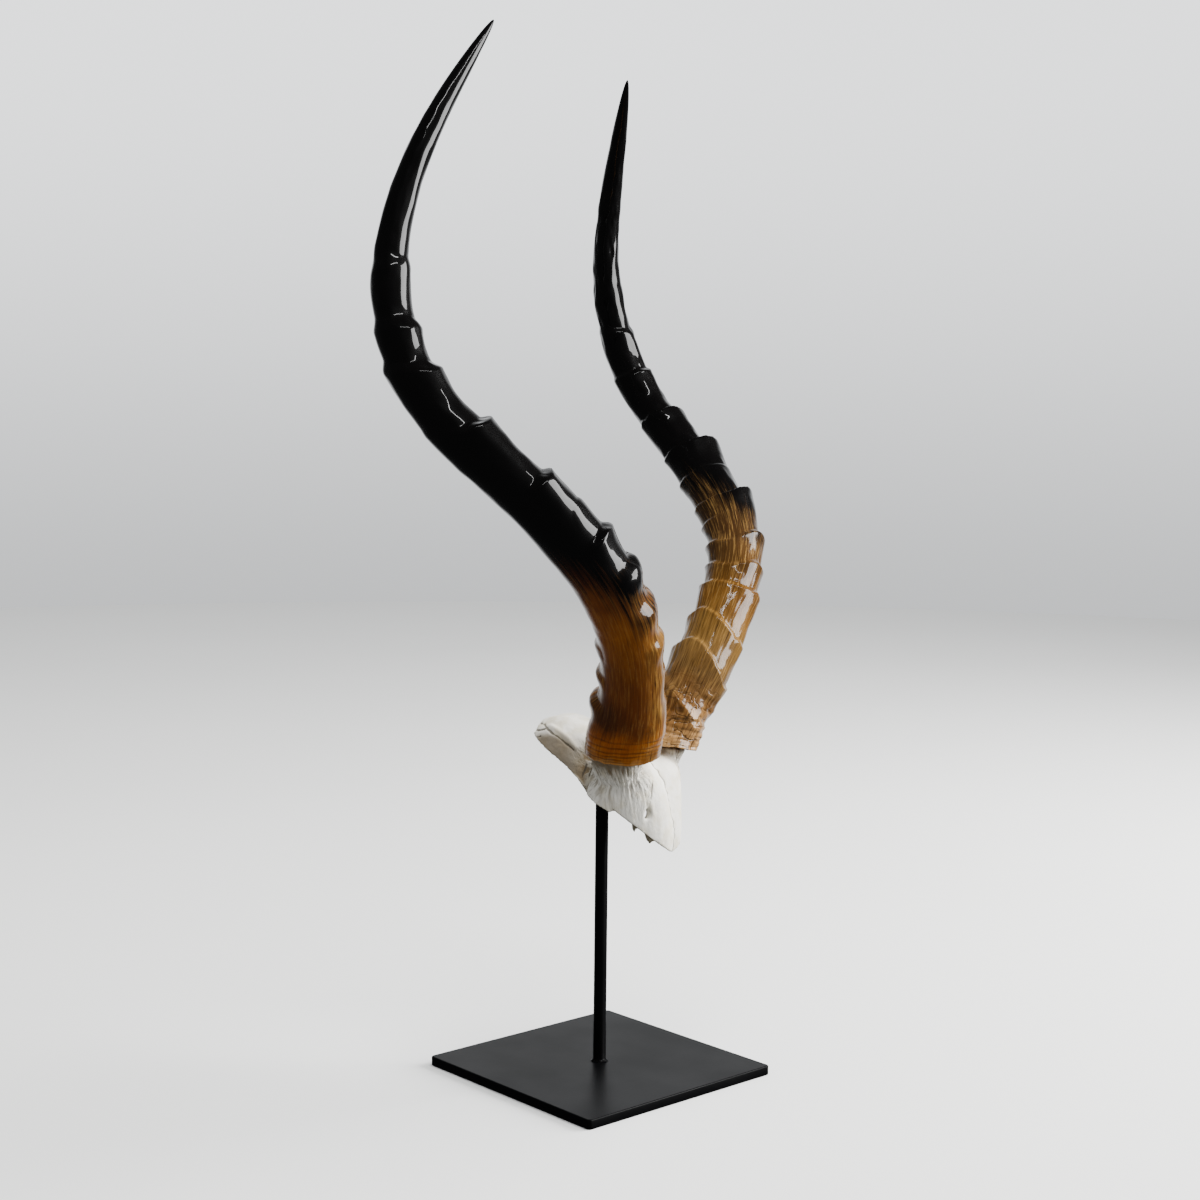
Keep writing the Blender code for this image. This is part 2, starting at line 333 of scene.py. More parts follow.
@dataclass(frozen=True)
class LacqueredHorn:
    """Keratin horn, scraped, polished and clear-lacquered.

    Long fibres run up a brown sheath, which streaks into black towards the tip. The lacquer gives
    every side a wet gloss with sharp reflections, and it wets the keratin so well that no second,
    duller shine shows under it.
    """

    name: str
    tones: tuple[tuple[float, str], ...]  # millimetres up the horn, and the brown there
    fibre_light: str
    fibre_dark: str
    worn: str  # the brown where the horn was scraped, away from its outer side
    dark_from_mm: float  # how far up the horn the black begins
    dark_over_mm: float  # and over how much length it closes
    front_darkens_mm: float  # how much earlier it begins on the crests of the rings in front
    stains: tuple[tuple[Point, float], ...]  # smoky patches: a place on the straight tube, a radius
    outer_calm: float = 0.35  # share of the fibres' contrast that is left on the outer side
    outer_mm: tuple[float, float] = (8.0, 17.0)  # how far to that side they begin and end to fade
    front_mm: tuple[float, float] = (-8.0, 15.0)  # how far to the front the darkening rises
    black: str = "#040303"
    horn_length_mm: float = 512.0
    keratin_ior: float = 1.54
    keratin_roughness: float = 0.34
    keratin_shine: float = 0.08
    lacquer_ior: float = 1.5
    lacquer_roughness: float = 0.03
    lacquer_relief: float = 0.3  # share of the fibres' relief that shows in the lacquer
    fibre_mm: tuple[float, float] = (0.85, 16.0)  # width and length
    streak_mm: tuple[float, float] = (1.7, 40.0)
    cloud_mm: float = 16.0
    drift_mm: float = 11.0  # how far the clouds push the browns up and down
    sway_mm: float = 22.0  # how far the streaks push the black up and down
    fibre_height_mm: float = 0.1
    crease_mm: tuple[float, float] = (13.0, 8.0)  # from fold to fold, round the horn and along it
    crease_half_width: float = 0.045  # in the noise that draws the folds
    # the folds' strength, for their relief and for their painted shade
    crease_most: float = 0.8
    crease_depth_mm: float = 0.5
    front_share: float = 0.7  # share of the front's darkening that its flats between rings get too
    worn_most: float = 1.1
    light_most: float = 0.8
    dark_most: float = 0.85
    streak_most: float = 0.45
    # how dark the painted shade in the growth lines gets
    groove_most: float = 0.6
    stain_most: float = 0.55

    def build(self) -> bpy.types.Material:
        """Makes the material from the horn's own straight coordinates, in millimetres."""
        values = {
            "Roughness": self.keratin_roughness,
            "IOR": self.keratin_ior,
            "Specular IOR Level": self.keratin_shine,
            "Coat Weight": 1.0,
            "Coat Roughness": self.lacquer_roughness,
            "Coat IOR": self.lacquer_ior,
        }
        material, tree, shader = new_material(self.name, values)
        straight = add_node(tree, "Attribute", {"attribute_name": "straight"}).outputs["Vector"]
        proud, groove, knobbly = (
            add_node(tree, "Attribute", {"attribute_name": label}).outputs["Fac"]
            for label in ("proud", "groove", "knobbly")
        )
        front, outer, up = add_node(tree, "SeparateXYZ", inputs={0: straight}).outputs
        fibres = self._fibres(tree, straight, self.fibre_mm, 5.0)
        streaks = self._fibres(tree, straight, self.streak_mm, 3.0)
        reach = {"Value": outer, "From Min": self.outer_mm[0], "From Max": self.outer_mm[1]}
        reach |= {"To Min": 1.0, "To Max": self.outer_calm}
        lively = add_node(tree, "MapRange", inputs=reach).outputs["Result"]
        crease = self._creases(tree, straight, knobbly)
        # Painted shade: the growth lines and the folds of the base are darkened towards the dark fibre
        # colour, as if shaded
        lines = {0: groove, 1: self.groove_most}
        lines = add_node(tree, "Math", {"operation": "MULTIPLY"}, lines).outputs[0]
        painted_groove_shade = add_node(tree, "Math", {"operation": "MAXIMUM"}, {0: lines, 1: crease}).outputs[0]
        warm = self._warm_colour(tree, straight, up, (fibres, streaks), lively)
        mix = {MIX_FACTOR: painted_groove_shade, MIX_A: warm, MIX_B: linear(self.fibre_dark)}
        warm = add_node(tree, "Mix", COLOURS, mix).outputs[MIX_RESULT]
        dark = self._darkness(tree, up, front, proud, streaks)
        stained = self._stained(tree, straight, streaks)
        dark = add_node(tree, "Math", {"operation": "MAXIMUM"}, {0: dark, 1: stained}).outputs[0]
        mix = {MIX_FACTOR: dark, MIX_A: warm, MIX_B: linear(self.black)}
        colour = add_node(tree, "Mix", COLOURS, mix).outputs[MIX_RESULT]
        pale = add_node(tree, "Math", {"operation": "SUBTRACT"}, {0: 1.0, 1: dark}).outputs[0]
        pale = add_node(tree, "Math", {"operation": "MULTIPLY"}, {0: pale, 1: lively}).outputs[0]
        relief = add_node(tree, "Math", {"operation": "MULTIPLY"}, {0: fibres, 1: pale}).outputs[0]
        depth = {0: crease, 1: -self.crease_depth_mm / self.fibre_height_mm, 2: relief}
        relief = add_node(tree, "Math", {"operation": "MULTIPLY_ADD"}, depth).outputs[0]
        for target, strength in (("Normal", 1.0), ("Coat Normal", self.lacquer_relief)):
            bump = {"Height": relief, "Distance": self.fibre_height_mm * MM, "Strength": strength}
            bent = add_node(tree, "Bump", inputs=bump).outputs["Normal"]
            tree.links.new(bent, shader.inputs[target])
        tree.links.new(colour, shader.inputs["Base Color"])
        return material

    def _fibres(
        self,
        tree: bpy.types.NodeTree,
        straight: Socket,
        size: tuple[float, float],
        detail: float,
    ) -> Socket:
        """Streaks along the horn.

        Args:
            tree: the material's nodes.
            straight: the horn's straight coordinates.
            size: how wide and how long a streak is, in millimetres.
            detail: how many finer layers they have.

        Returns:
            A socket with the streaks, from 0 to 1.
        """
        width, length = size
        scale = {"Vector": straight, "Scale": (1 / width, 1 / width, 1 / length)}
        along = add_node(tree, "Mapping", inputs=scale).outputs["Vector"]
        noise = {"Vector": along, "Scale": 1.0, "Detail": detail, "Roughness": 0.55, "Distortion": 0.8}
        return add_node(tree, "TexNoise", inputs=noise).outputs["Fac"]

    def _creases(
        self, tree: bpy.types.NodeTree, straight: Socket, knobbly: Socket
    ) -> Socket:
        """Winding folds round the knobbly base.

        Args:
            tree: the material's nodes.
            straight: the horn's straight coordinates.
            knobbly: how knobbly the horn is, from 0 to 1.

        Returns:
            A socket with how deep in a fold each place is, from 0 to 1.
        """
        width, height = self.crease_mm
        scale = {"Vector": straight, "Scale": (1 / width, 1 / width, 1 / height)}
        along = add_node(tree, "Mapping", inputs=scale).outputs["Vector"]
        noise = {"Vector": along, "Scale": 1.0, "Detail": 2.0, "Roughness": 0.5, "Distortion": 0.6}
        level = add_node(tree, "TexNoise", inputs=noise).outputs["Fac"]
        away = add_node(tree, "Math", {"operation": "SUBTRACT"}, {0: level, 1: 0.5}).outputs[0]
        away = add_node(tree, "Math", {"operation": "ABSOLUTE"}, {0: away}).outputs[0]
        reach = {"Value": away, "From Min": self.crease_half_width, "From Max": 0.0}
        reach["To Max"] = self.crease_most
        fold = add_node(tree, "MapRange", SOFT, reach).outputs["Result"]
        return add_node(tree, "Math", {"operation": "MULTIPLY"}, {0: fold, 1: knobbly}).outputs[0]

    def _stained(
        self, tree: bpy.types.NodeTree, straight: Socket, streaks: Socket
    ) -> Socket | float:
        """How dark the smoky patches are.

        Args:
            tree: the material's nodes.
            straight: the horn's straight coordinates.
            streaks: the wide streaks, which fray the patches.

        Returns:
            A socket with the darkness, from 0 to 1, or plain 0 for a horn with no patch.
        """
        total: Socket | float = 0.0
        for place, radius in self.stains:
            apart = add_node(tree, "VectorMath", {"operation": "DISTANCE"}, {0: straight, 1: place})
            frayed = {0: streaks, 1: radius, 2: apart.outputs["Value"]}
            frayed = add_node(tree, "Math", {"operation": "MULTIPLY_ADD"}, frayed).outputs[0]
            reach = {"Value": frayed, "From Min": radius * 1.9, "From Max": radius * 0.6}
            reach["To Max"] = self.stain_most
            amount = add_node(tree, "MapRange", SOFT, reach).outputs["Result"]
            total = add_node(tree, "Math", {"operation": "MAXIMUM"}, {0: total, 1: amount}).outputs[0]
        return total

    def _warm_colour(
        self,
        tree: bpy.types.NodeTree,
        straight: Socket,
        up: Socket,
        strands: tuple[Socket, Socket],
        lively: Socket,
    ) -> Socket:
        """The brown of the horn before it darkens.

        Args:
            tree: the material's nodes.
            straight: the horn's straight coordinates.
            up: how far up the horn, in millimetres.
            strands: the fine fibres, then the wide streaks.
            lively: how much the fibres stand out, from 0 to 1.

        Returns:
            A socket with the colour.
        """
        noise = {"Vector": straight, "Scale": 1 / self.cloud_mm, "Detail": 3.0}
        clouds = add_node(tree, "TexNoise", inputs=noise).outputs["Fac"]
        reach = {"Value": clouds, "From Min": 0.25, "From Max": 0.75}
        reach |= {"To Min": -self.drift_mm, "To Max": self.drift_mm}
        drift = add_node(tree, "MapRange", inputs=reach).outputs["Result"]
        place = add_node(tree, "Math", {"operation": "ADD"}, {0: up, 1: drift}).outputs[0]
        share = {0: place, 1: self.horn_length_mm}
        share = add_node(tree, "Math", {"operation": "DIVIDE"}, share).outputs[0]
        stops = [(height / self.horn_length_mm, tone) for height, tone in self.tones]
        colour = add_node(tree, "ValToRGB", {"stops": stops}, {0: share}).outputs["Color"]
        worn = {0: lively, 1: self.worn_most, 2: -self.outer_calm * self.worn_most}
        worn = add_node(tree, "Math", {"operation": "MULTIPLY_ADD"}, worn).outputs[0]
        worn = add_node(tree, "Math", {"operation": "MULTIPLY"}, {0: worn, 1: clouds}).outputs[0]
        clamped = {"operation": "MULTIPLY", "use_clamp": True}
        worn = add_node(tree, "Math", clamped, {0: worn, 1: 2.0}).outputs[0]
        mix = {MIX_FACTOR: worn, MIX_A: colour, MIX_B: linear(self.worn)}
        colour = add_node(tree, "Mix", COLOURS, mix).outputs[MIX_RESULT]
        fibres, streaks = strands
        for source, start, end, most, tone in (
            (fibres, 0.5, 0.68, self.light_most, self.fibre_light),
            (fibres, 0.5, 0.3, self.dark_most, self.fibre_dark),
            (streaks, 0.5, 0.3, self.streak_most, self.fibre_dark),
        ):
            reach = {"Value": source, "From Min": start, "From Max": end, "To Max": most}
            amount = add_node(tree, "MapRange", SOFT, reach).outputs["Result"]
            amount = add_node(tree, "Math", {"operation": "MULTIPLY"}, {0: amount, 1: lively}).outputs[0]
            mix = {MIX_FACTOR: amount, MIX_A: colour, MIX_B: linear(tone)}
            colour = add_node(tree, "Mix", COLOURS, mix).outputs[MIX_RESULT]
        return colour

    def _darkness(
        self, tree: bpy.types.NodeTree, up: Socket, front: Socket, proud: Socket, streaks: Socket
    ) -> Socket:
        """How black the horn is.

        Args:
            tree: the material's nodes.
            up: how far up the horn, in millimetres.
            front: how far towards the front, in millimetres.
            proud: how near the crest of a ring, from 0 to 1.
            streaks: the wide streaks.

        Returns:
            A socket with the darkness, from 0 to 1.
        """
        reach = {"Value": streaks, "From Min": 0.25, "From Max": 0.75}
        reach |= {"To Min": -self.sway_mm, "To Max": self.sway_mm}
        sway = add_node(tree, "MapRange", inputs=reach).outputs["Result"]
        reach = {"Value": front, "From Min": self.front_mm[0], "From Max": self.front_mm[1]}
        reach["To Max"] = self.front_darkens_mm
        ahead = add_node(tree, "MapRange", inputs=reach).outputs["Result"]
        crest = {0: proud, 1: 1 - self.front_share, 2: self.front_share}
        crest = add_node(tree, "Math", {"operation": "MULTIPLY_ADD"}, crest).outputs[0]
        crest = add_node(tree, "Math", {"operation": "MULTIPLY"}, {0: crest, 1: ahead}).outputs[0]
        place = up
        for part in (sway, crest):
            place = add_node(tree, "Math", {"operation": "ADD"}, {0: place, 1: part}).outputs[0]
        end = self.dark_from_mm + self.dark_over_mm
        reach = {"Value": place, "From Min": self.dark_from_mm, "From Max": end}
        return add_node(tree, "MapRange", SOFT, reach).outputs["Result"]


@dataclass(frozen=True)
class BleachedBone:
    """Dry skull bone, boiled and bleached.

    It is chalky white where it is smooth, streaked grey-beige in its wrinkles, and open-pored
    and darker where the saw cut through it. A grey-beige painted shade darkens the troughs of its
    wrinkles, its hollows, the bone under and round the horns where their shadow falls, and the
    sides that face down.
    """

    name: str = "dry_bone_bleached"
    white: str = "#f8f4e8"
    cream: str = "#eae2cc"
    # the colour of the painted shade in wrinkle troughs, hollows, the horns' shadows and down-facing sides
    hollow: str = "#877457"
    wrinkle: str = "#8b8069"
    sawn: str = "#857a62"
    inner: str = "#a39981"
    crack: str = "#5a5142"
    ior: float = 1.55
    roughness: float = 0.6
    mottle_mm: float = 9.0
    pore_mm: float = 0.9  # true pores are finer: drawn coarser so that they show
    pore_height_mm: float = 0.08
    wrinkle_mm: tuple[float, float] = (0.8, 5.0)  # width and length
    wrinkle_height_mm: float = 0.35
    stroke_most: float = 0.9
    pit_most: float = 0.6
    crack_most: float = 0.85
    crack_half_width_mm: float = 0.4

    def build(self) -> bpy.types.Material:
        """Makes the material from the skull's own measures, which its mesh carries."""
        material, tree, shader = new_material(self.name, {"Roughness": self.roughness, "IOR": self.ior})
        spot = add_node(tree, "TexCoord").outputs["Object"]
        cavity, sawn, inner, crack_mm, rough = (
            add_node(tree, "Attribute", {"attribute_name": label}).outputs["Fac"]
            for label in ("cavity", "sawn", "inner", "crack_mm", "rough")
        )
        spread = add_node(tree, "Attribute", {"attribute_name": "spread"}).outputs["Vector"]
        noise = {"Vector": spot, "Scale": 1 / (self.mottle_mm * MM), "Detail": 5.0}
        mottle = add_node(tree, "TexNoise", inputs=noise).outputs["Fac"]
        noise = {"Vector": spot, "Scale": 1 / (self.pore_mm * MM), "Detail": 4.0}
        pores = add_node(tree, "TexNoise", inputs=noise).outputs["Fac"]
        width, length = self.wrinkle_mm
        scale = {"Vector": spread, "Scale": (1 / width, 1 / width, 1 / length)}
        along = add_node(tree, "Mapping", inputs=scale).outputs["Vector"]
        noise = {"Vector": along, "Scale": 1.0, "Detail": 3.0, "Distortion": 0.5}
        strokes = add_node(tree, "TexNoise", inputs=noise).outputs["Fac"]
        cream = {"Value": mottle, "From Min": 0.42, "From Max": 0.68}
        stroke = {"Value": strokes, "From Min": 0.52, "From Max": 0.32, "To Max": self.stroke_most}
        pit = {"Value": pores, "From Min": 0.5, "From Max": 0.36, "To Max": self.pit_most}
        line = {"Value": crack_mm, "From Min": self.crack_half_width_mm * 1.7}
        line |= {"From Max": self.crack_half_width_mm * 0.4, "To Max": self.crack_most}
        cream, stroke, pit, line = (
            add_node(tree, "MapRange", SOFT, reach).outputs["Result"]
            for reach in (cream, stroke, pit, line)
        )
        stroke, pit = (
            add_node(tree, "Math", {"operation": "MULTIPLY"}, {0: marks, 1: share}).outputs[0]
            for marks, share in ((stroke, rough), (pit, sawn))
        )
        colour: Any = linear(self.white)
        for factor, tone in (
            (cream, self.cream),
            # painted shade, mixed into the bone's colour
            (cavity, self.hollow),
            (stroke, self.wrinkle),
            (inner, self.inner),
            (sawn, self.sawn),
            (pit, self.crack),
            (line, self.crack),
        ):
            mix = {MIX_FACTOR: factor, MIX_A: colour, MIX_B: linear(tone)}
            colour = add_node(tree, "Mix", COLOURS, mix).outputs[MIX_RESULT]
        cut = add_node(tree, "Math", {"operation": "SUBTRACT"}, {0: pores, 1: line}).outputs[0]
        bump = {"Height": cut, "Distance": self.pore_height_mm * MM}
        fine = add_node(tree, "Bump", inputs=bump).outputs["Normal"]
        drop = add_node(tree, "Math", {"operation": "SUBTRACT"}, {0: 1.0, 1: stroke}).outputs[0]
        bump = {"Height": drop, "Distance": self.wrinkle_height_mm * MM, "Normal": fine}
        relief = add_node(tree, "Bump", inputs=bump).outputs["Normal"]
        tree.links.new(colour, shader.inputs["Base Color"])
        tree.links.new(relief, shader.inputs["Normal"])
        return material


@dataclass(frozen=True)
class PowderCoat:
    """Satin black polyester powder coat, baked on mild steel.

    It gives a deep even black with a faint orange-peel ripple and a soft, wide highlight.
    """

    name: str = "powder_coat_satin_black"
    colour: str = "#060607"
    dust_and_painted_shade: str = "#0a0a0b"
    ior: float = 1.5
    roughness: float = 0.34
    roughness_spread: float = 0.07
    shine: float = 0.11
    ripple_mm: float = 1.1  # orange peel is about this far from crest to crest
    ripple_height_mm: float = 0.015
    handling_mm: float = 45.0

    def build(self) -> bpy.types.Material:
        """Makes the material, with its roughness a little uneven where hands have rubbed it."""
        values = {"IOR": self.ior, "Specular IOR Level": self.shine}
        material, tree, shader = new_material(self.name, values)
        spot = add_node(tree, "TexCoord").outputs["Object"]
        noise = {"Vector": spot, "Scale": 1 / (self.ripple_mm * MM), "Detail": 2.0}
        ripple = add_node(tree, "TexNoise", inputs=noise).outputs["Fac"]
        noise = {"Vector": spot, "Scale": 1 / (self.handling_mm * MM), "Detail": 5.0}
        rubbed = add_node(tree, "TexNoise", inputs=noise).outputs["Fac"]
        mix = {MIX_FACTOR: rubbed, MIX_A: linear(self.colour), MIX_B: linear(self.dust_and_painted_shade)}
        colour = add_node(tree, "Mix", COLOURS, mix).outputs[MIX_RESULT]
        reach = {"Value": rubbed, "From Min": 0.3, "From Max": 0.7, "To Min": self.roughness}
        reach["To Max"] = self.roughness + self.roughness_spread
        rough = add_node(tree, "MapRange", inputs=reach).outputs["Result"]
        bump = {"Height": ripple, "Distance": self.ripple_height_mm * MM}
        relief = add_node(tree, "Bump", inputs=bump).outputs["Normal"]
        tree.links.new(colour, shader.inputs["Base Color"])
        tree.links.new(rough, shader.inputs["Roughness"])
        tree.links.new(relief, shader.inputs["Normal"])
        return material


@dataclass(frozen=True)
class MattPaper:
    """Matt off-white background paper, which gives a pale floor with no gloss."""

    name: str = "background_paper_matt"
    colour: str = "#f6f6f4"
    shade: str = "#f1f1ef"
    roughness: float = 0.9
    cloud_mm: float = 400.0

    def build(self) -> bpy.types.Material:
        """Makes the material."""
        material, tree, shader = new_material(self.name, {"Roughness": self.roughness})
        spot = add_node(tree, "TexCoord").outputs["Object"]
        noise = {"Vector": spot, "Scale": 1 / (self.cloud_mm * MM)}
        cloud = add_node(tree, "TexNoise", inputs=noise).outputs["Fac"]
        mix = {MIX_FACTOR: cloud, MIX_A: linear(self.colour), MIX_B: linear(self.shade)}
        colour = add_node(tree, "Mix", COLOURS, mix).outputs[MIX_RESULT]
        tree.links.new(colour, shader.inputs["Base Color"])
        return material


# ---------------------------------------------------------------- horns


@dataclass(frozen=True)
class Ring:
    """One growth ring: how far up its crest is, and how proud, on each side of the horn.

    A side with a height below zero cuts the ring off before it gets there.
    """

    front_at: float
    back_at: float
    inner_at: float
    front: float
    inner: float
    back: float
    outer: float
    rise: float = 17.0  # it swells slowly from below
    fall: float = 2.6  # and drops off steeply above its crest
    rounded: bool = False


@dataclass(frozen=True)
class Swell:
    """A long soft bulge on one side of a horn."""

    at: float
    over: float
    turn: float  # degrees round the horn: 0 is its front, 90 its outer side
    height: float


@dataclass
class Horn:
    """One horn: a ringed sheath of keratin on its spine, open below where the bone goes in."""

    side: Side
    foot: Point
    tip: Point
    rings: tuple[Ring, ...]
    swells: tuple[Swell, ...]
    finish: LacqueredHorn
    rough_foot: float  # how far up the base is knobbly
    rough_height: float  # and by how much
    dent_height: float  # how uneven it is between its rings
    seed: int
    spine: tuple[Point, ...] = (
        (66, -47, 269),
        (109, -44, 326),
        (141, -1, 377),
        (153, 47, 429),
        (145, 65, 497),
        (125, 52, 564),
    )
    radius: float = 20.3
    taper: float = 0.55  # power of the share of length left to the tip
    rim_swell: float = 2.4
    rim_swell_length: float = 30.0
    tilt_out: float = math.radians(10)
    tilt_forward: float = math.radians(5)
    foot_blend: float = 45.0  # above the rim the sections turn square to the spine
    ring_sink: float = 1.0  # how much slimmer the horn is between its rings
    full_ring: float = 2.2  # a ring this proud is a full crest to the finish
    ring_wander: float = 1.2
    rim_leans_back: float = 0.5  # share of the rim's swell that its front lacks and its back has more
    knobs_to_fold: float = 0.5  # only a foot rougher than this has folds in its finish
    least_radius: float = 0.05
    stations: int = 590
    sides: int = 164
    wave: float = 0.9  # how uneven the rim's edge is
    wave_reach: float = 12.0
    growth_lines: tuple[float, ...] = (2.4, 4.3, 6.6, 9.2, 13.0, 18.5)
    growth_depth: float = 0.36
    growth_width: float = 0.6
    growth_wander: float = 1.3
    fibre_relief: float = 0.18
    fibre_winding: float = 1.2
    fibres_end: float = 110.0  # above this the fibres fade over the next stretch
    fibres_fade: float = 60.0
    wall: float = 3.4  # thickness of the sheath at the rim
    hollow_depth: float = 1.0

    def build(self) -> bpy.types.Object:
        """Makes the horn's mesh, closed at the tip and hollowed a little at the foot."""
        spine, steps = self._even_spine()
        angles = 2 * math.pi * np.arange(self.sides) / self.sides
        along, front, outward = self._frames(spine, steps)
        radius, marks = self._radius(steps, angles)
        lift = self._rim_wave(steps, angles)
        ahead = np.cos(angles)[None, :, None] * front[:, None]
        across = ahead + np.sin(angles)[None, :, None] * outward[:, None]
        shell = spine[:, None] + radius[:, :, None] * across + lift[:, :, None] * along[:, None]
        under, under_up = self._underside(shell[0], spine[0], along[0])
        rows = np.concatenate([under, shell[:-1]])
        ups = np.concatenate([under_up, steps[:-1]])
        blank = np.zeros((len(under), self.sides))
        roof = spine[:1] + along[:1] * self.hollow_depth
        places = np.concatenate([rows.reshape(-1, 3), roof, spine[-1:]])
        straight = self._straight_places(ups, angles)
        straight = np.concatenate([straight, [(0, 0, 0), (0, 0, steps[-1])]])
        values = {"straight": straight}
        for label, mark in marks.items():
            values[label] = np.append(np.concatenate([blank, mark[:-1]]).ravel(), (0, 0))
        name = self.side.name.lower()
        faces = self._closed_faces(len(rows))
        horn = make_mesh(f"ringed_horn_{name}", places, faces, self.finish.build(), values)
        join_to_model(horn, f"horn_{name}")
        return horn

    def _even_spine(self) -> tuple[np.ndarray, np.ndarray]:
        """The spine at equal steps, and how far up it each step is."""
        points = [self.foot, *self.spine, self.tip]
        fine = smooth_curve(points, np.linspace(0, len(points) - 1, 4 * self.stations))
        fine *= (self.side.value, 1, 1)
        runs = np.linalg.norm(np.diff(fine, axis=0), axis=1)
        lengths = np.concatenate([[0], np.cumsum(runs)])
        steps = np.linspace(0, lengths[-1], self.stations + 1)
        even = np.stack([np.interp(steps, lengths, fine[:, axis]) for axis in range(3)], axis=1)
        return even, steps

    def foot_axis(self) -> np.ndarray:
        """The direction square to the rim."""
        lean = (self.side.value * math.tan(self.tilt_out), -math.tan(self.tilt_forward), 1)
        return unit(np.array(lean))

    def _frames(self, spine: np.ndarray, steps: np.ndarray) -> tuple[np.ndarray, np.ndarray, np.ndarray]:
        """The directions of each section.

        Args:
            spine: the spine's points.
            steps: how far up each is.

        Returns:
            The directions along the horn, to its front and to its outer side.
        """
        tangents = unit(np.gradient(spine, axis=0))
        share = ease(steps / self.foot_blend)[:, None]
        along = unit((1 - share) * self.foot_axis() + share * tangents)
        front = unit(np.array([0.0, -1.0, 0.0]) + along[:, 1:2] * along)
        outward = self.side.value * np.cross(along, front)
        return along, front, outward

    def _radius(self, steps: np.ndarray, angles: np.ndarray) -> tuple[np.ndarray, dict[str, np.ndarray]]:
        """The horn's radius everywhere.

        Args:
            steps: how far up each station is.
            angles: the angles round the horn, 0 in front and a quarter turn on the outer side.

        Returns:
            The radius for each station and angle, and the marks there that the finish reads.
        """
        left = np.clip(1 - steps / steps[-1], 0, 1)[:, None]
        up = steps[:, None]
        cosine, sine = np.cos(angles)[None, :], np.sin(angles)[None, :]
        sides = {
            "front": np.clip(cosine, 0, 1) ** 2,
            "outer": np.clip(sine, 0, 1) ** 2,
            "back": np.clip(-cosine, 0, 1) ** 2,
            "inner": np.clip(-sine, 0, 1) ** 2,
        }
        coordinates = self._straight_places(steps, angles)
        wobble = self.ring_wander * Bumps(self.seed, 2).at(coordinates / 11.0).reshape(len(steps), -1)
        lift = np.zeros((len(steps), len(angles)))
        for ring in self.rings:
            middle = (ring.front_at + ring.back_at) / 2
            crest = middle + (ring.front_at - middle) * cosine + (ring.inner_at - middle) * sides["inner"]
            past = up - crest - wobble
            below = np.clip(1 + past / ring.rise, 0, 1)
            below = ease(below) if ring.rounded else below**1.5
            share = np.where(past < 0, below, 1 - ease(past / ring.fall))
            height = sum(getattr(ring, side) * weight for side, weight in sides.items())
            lift = np.maximum(lift, share * height)
        fade = np.clip(left / 0.3, 0, 1)
        rim = self.rim_swell * np.exp(-up / self.rim_swell_length) * (1 - self.rim_leans_back * cosine)
        radius = self.radius * left**self.taper + rim + lift - self.ring_sink * fade
        for swell in self.swells:
            facing = np.clip(np.cos(angles - math.radians(swell.turn)), 0, 1)[None, :] ** 2
            radius = radius + swell.height * facing * near(up - swell.at, swell.over)
        relief, groove = self._small_relief(coordinates, left)
        radius = radius + relief.reshape(lift.shape)
        knobbly = self._knobs_left(up) * (self.rough_height > self.knobs_to_fold)
        marks = {
            "proud": np.clip(lift / self.full_ring, 0, 1) ** 2,
            "groove": groove.reshape(lift.shape),
            "knobbly": np.broadcast_to(knobbly, lift.shape),
        }
        return np.maximum(radius, self.least_radius), marks

    def _knobs_left(self, up: np.ndarray) -> np.ndarray:
        """How knobbly the foot still is this far up, from 1 at its rim to 0."""
        return 1 - ease(up / self.rough_foot - 0.3)

    def _straight_places(self, steps: np.ndarray, angles: np.ndarray) -> np.ndarray:
        """The horn's surface unrolled to a straight tube, one place a row."""
        up, turn = np.meshgrid(steps, angles, indexing="ij")
        tube = [self.radius * np.cos(turn), self.radius * np.sin(turn), up]
        return np.stack([part.ravel() for part in tube], axis=1)

    def _small_relief(self, coordinates: np.ndarray, left: np.ndarray) -> tuple[np.ndarray, np.ndarray]:
        """The dents, fibres and growth lines between the rings.

        Args:
            coordinates: the places on the straight tube.
            left: the share of the length left to the tip, a row for each station.

        Returns:
            How far each place is lifted, and how deep in a growth line it is, from 0 to 1.
        """
        up = coordinates[:, 2]
        soft = np.repeat(np.clip(left[:, 0] / 0.25, 0, 1), self.sides)
        dents = self.dent_height * soft * Bumps(self.seed + 1, 2).at(coordinates / 14.0)
        frayed = ease(0.75 - coordinates[:, 1] / self.radius)
        frayed = frayed * (1 - ease((up - self.fibres_end) / self.fibres_fade))
        winding = self.fibre_winding * Bumps(self.seed + 6, 2).at(coordinates / 9.0)
        wavy = coordinates + winding[:, None] * (1, 1, 0)
        fibres = self.fibre_relief * frayed * Bumps(self.seed + 2, 2).at(wavy / (2.2, 2.2, 19.0))
        knobs = Bumps(self.seed + 3, 2).at(coordinates / (9.0, 9.0, 5.0))
        knobs = self.rough_height * knobs * self._knobs_left(up)
        groove = np.zeros(len(up))
        drift = self.growth_wander * Bumps(self.seed + 4, 3).at(coordinates / 15.0)
        for line in self.growth_lines:
            groove += near(up + drift - line, self.growth_width)
        # The growth lines come and go round the horn
        groove *= 0.35 + 0.9 * ease(0.5 + 0.7 * Bumps(self.seed + 7, 2).at(coordinates / (8.0, 8.0, 2.0)))
        return dents + fibres + knobs - self.growth_depth * groove, np.clip(groove, 0, 1)

    def _rim_wave(self, steps: np.ndarray, angles: np.ndarray) -> np.ndarray:
        """How far the uneven rim pushes each place along the horn."""
        fade = np.clip(1 - steps / self.wave_reach, 0, 1)[:, None]
        circle = np.stack([np.cos(angles), np.sin(angles), np.zeros_like(angles)], axis=1)
        wave = Bumps(self.seed + 5, 2).at(circle * 3.0)
        return self.wave * fade * np.abs(wave)[None, :]

